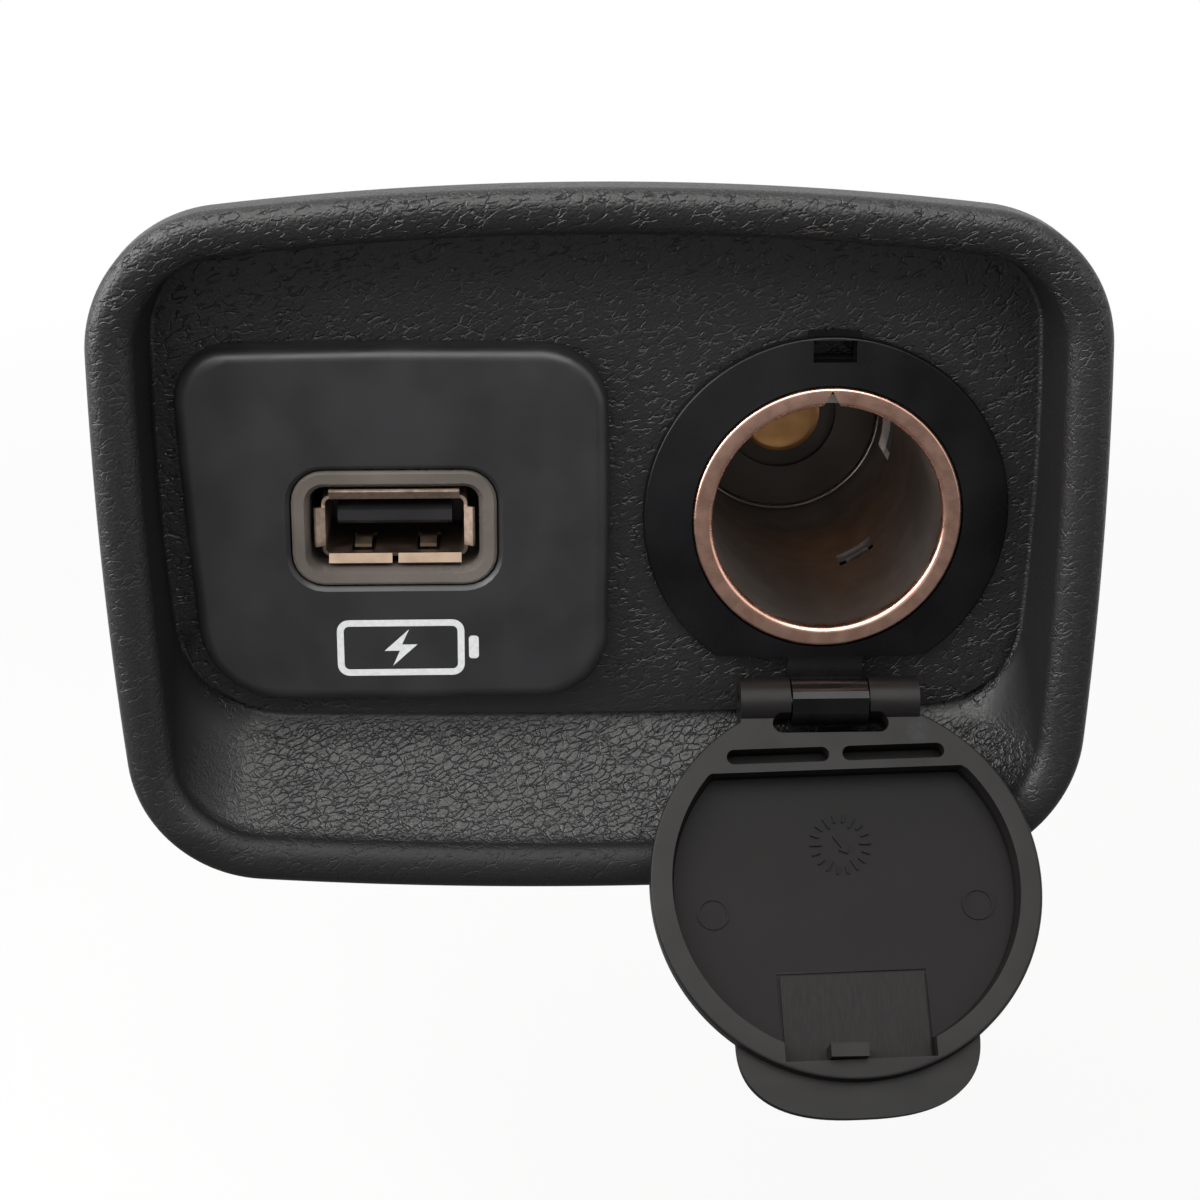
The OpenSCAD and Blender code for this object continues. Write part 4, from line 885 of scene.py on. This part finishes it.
def soften(mesh):
    """Smooth shading over gentle edges, with normals weighed by area so that flat faces stay flat."""
    count, corners = len(mesh.polygons), len(mesh.loops)
    normals = np.zeros(count * 3, np.float32)
    areas = np.zeros(count, np.float32)
    sizes = np.zeros(count, np.int32)
    index = np.zeros(corners, np.int32)
    place = np.zeros(len(mesh.vertices) * 3, np.float32)
    mesh.polygons.foreach_get("normal", normals)
    mesh.polygons.foreach_get("area", areas)
    mesh.polygons.foreach_get("loop_total", sizes)
    mesh.loops.foreach_get("vertex_index", index)
    mesh.vertices.foreach_get("co", place)
    normals = normals.reshape(-1, 3)
    spots = np.round(place.reshape(-1, 3)[index] / (0.001 * MM)).astype(np.int64)
    spot = np.unique(spots, axis=0, return_inverse=True)[1].ravel()
    face = np.repeat(np.arange(count), sizes)
    order = np.argsort(spot, kind="stable")
    ends = np.flatnonzero(np.diff(spot[order])) + 1
    result = np.zeros((corners, 3))
    limit = math.cos(math.radians(NODE_HARD))
    for group in np.split(order, ends):
        around = normals[face[group]]
        close = (around @ around.T) > limit
        result[group] = close @ (around * areas[face[group]][:, None])
    lengths = np.linalg.norm(result, axis=1, keepdims=True)
    result = np.where(lengths > 1e-12, result / np.maximum(lengths, 1e-12), normals[face])
    mesh.shade_smooth()
    mesh.normals_split_custom_set(result.tolist())


def make_looks():
    looks = {
        "sleeve_black": moulded("sleeve_plastic", (0.0032, 0.0028, 0.0035), 0.29, 0.12, 0.002, specular=0.28),
        "cap_black": cap_look(),
        "port_soft": moulded("port_paint", (0.014, 0.014, 0.0155), 0.38, 0.08, 0.002, specular=0.6),
        "light_guide": moulded("light_guide_smoked", (0.09, 0.078, 0.07), 0.3, 0.2, 0.002),
        "nickel": nickel_look(),
        "port_shell": shell_look(),
        "contact_brass": metal("contact_brass_worn", (0.45, 0.26, 0.11), 0.42, (4, 1, 4)),
        "terminal_tin": metal("terminal_tinned", (0.68, 0.67, 0.64), 0.34, (1, 8, 1)),
        "spring_steel": metal("spring_steel_plain", (0.5, 0.5, 0.49), 0.36, (8, 1, 1)),
        "pin_steel": metal("pin_steel_ground", (0.5, 0.5, 0.5), 0.32, (1, 4, 4)),
        "insulator": moulded("insulator_phenolic", (0.045, 0.038, 0.032), 0.5, 0.15, 0.008),
        "housing_black": moulded("housing_nylon", (0.022, 0.022, 0.024), 0.42, 0.14, 0.008),
        "tongue_black": moulded("tongue_plastic", (0.016, 0.016, 0.018), 0.34, 0.1, 0.003),
        "gold_contact": metal("contact_gold", (0.85, 0.6, 0.24), 0.25, (1, 8, 1)),
        "board_green": moulded("board_mask", (0.02, 0.11, 0.045), 0.3, 0.3, 0.004),
        "led_white": moulded("led_body", (0.75, 0.74, 0.66), 0.25, 0.2, 0.002),
        "ferrite": moulded("ferrite_grey", (0.05, 0.05, 0.054), 0.6, 0.12, 0.012),
        "can_aluminium": metal("can_sleeve", (0.72, 0.72, 0.74), 0.3, (1, 8, 1)),
        "header_white": moulded("header_nylon", (0.58, 0.55, 0.48), 0.4, 0.2, 0.006),
    }
    for name, node in nodes.items():
        look = looks.get(name, looks.get(node.data.materials[0].name))
        if look is not None:
            node.data.materials[0] = look.material
            soften(node.data)
    return looks


# Printed pictogram of a battery being charged, on the face plate
PRINT_T, PRINT_ROOT = 0.02, 0.01
ICON_CENTRE = (-38.9, -11.7)
ICON_W, ICON_H, ICON_LINE, ICON_R, ICON_INNER_R = 11.6, 5.4, 0.62, 1.1, 0.5
NUB_W, NUB_H, NUB_R, NUB_SHIFT = 0.9, 2.2, 0.3, 0.85
BOLT = ((0.75, 1.75), (-1.5, -0.3), (-0.1, -0.3), (-0.75, -1.75), (1.5, 0.3), (0.1, 0.3))


def rounded(w, h, r, centre=(0, 0), n=6):
    points = []
    for turn, (sx, sy) in enumerate(((1, 1), (-1, 1), (-1, -1), (1, -1))):
        for i in range(n + 1):
            d = direction(90 * turn + 90 * i / n)
            points.append((centre[0] + sx * (w / 2 - r) + r * d[0], centre[1] + sy * (h / 2 - r) + r * d[1]))
    return points


def make_icon():
    cx, cy = ICON_CENTRE
    outer = rounded(ICON_W, ICON_H, ICON_R, ICON_CENTRE)
    inner = rounded(ICON_W - 2 * ICON_LINE, ICON_H - 2 * ICON_LINE, ICON_INNER_R, ICON_CENTRE)
    n = len(outer)
    front = -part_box("port_faceplate")[0].y / MM
    low, high = front - PRINT_ROOT, front + PRINT_T
    vertices = [(*p, low) for p in outer] + [(*p, low) for p in inner]
    vertices += [(*p, high) for p in outer] + [(*p, high) for p in inner]
    faces = []
    for i in range(n):
        j = (i + 1) % n
        faces += [(i, n + i, n + j, j), (2 * n + i, 2 * n + j, 3 * n + j, 3 * n + i),
                  (i, j, 2 * n + j, 2 * n + i), (n + i, 3 * n + i, 3 * n + j, n + j)]
    frame_piece = link_mesh("icon_battery", vertices, faces)
    nub = rounded(NUB_W, NUB_H, NUB_R, (cx + ICON_W / 2 + NUB_SHIFT, cy), 4)
    bolt = [(cx + x, cy + y) for x, y in BOLT]
    marks = link_mesh("icon_marks", *prisms([nub, bolt], low, high))
    look = Look("print_grey", base=(0.56, 0.57, 0.58), roughness=0.55)
    look.roughness(look.remap(look.noise(0.5), 0.3, 0.7, 0.48, 0.62))
    shade = look.remap(look.noise(0.35, detail=3), 0.3, 0.6)
    look.colour(look.blend(shade, (0.43, 0.44, 0.45), (0.49, 0.5, 0.51)))
    for piece in (frame_piece, marks):
        piece.data.materials.append(look.material)
        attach(piece, "panel")


make_camera()
light_studio()
make_floor()
make_bezel()
looks = make_looks()
make_cap(looks["cap_black"].material)
make_icon()
bpy.context.scene.view_settings.view_transform = "Standard"
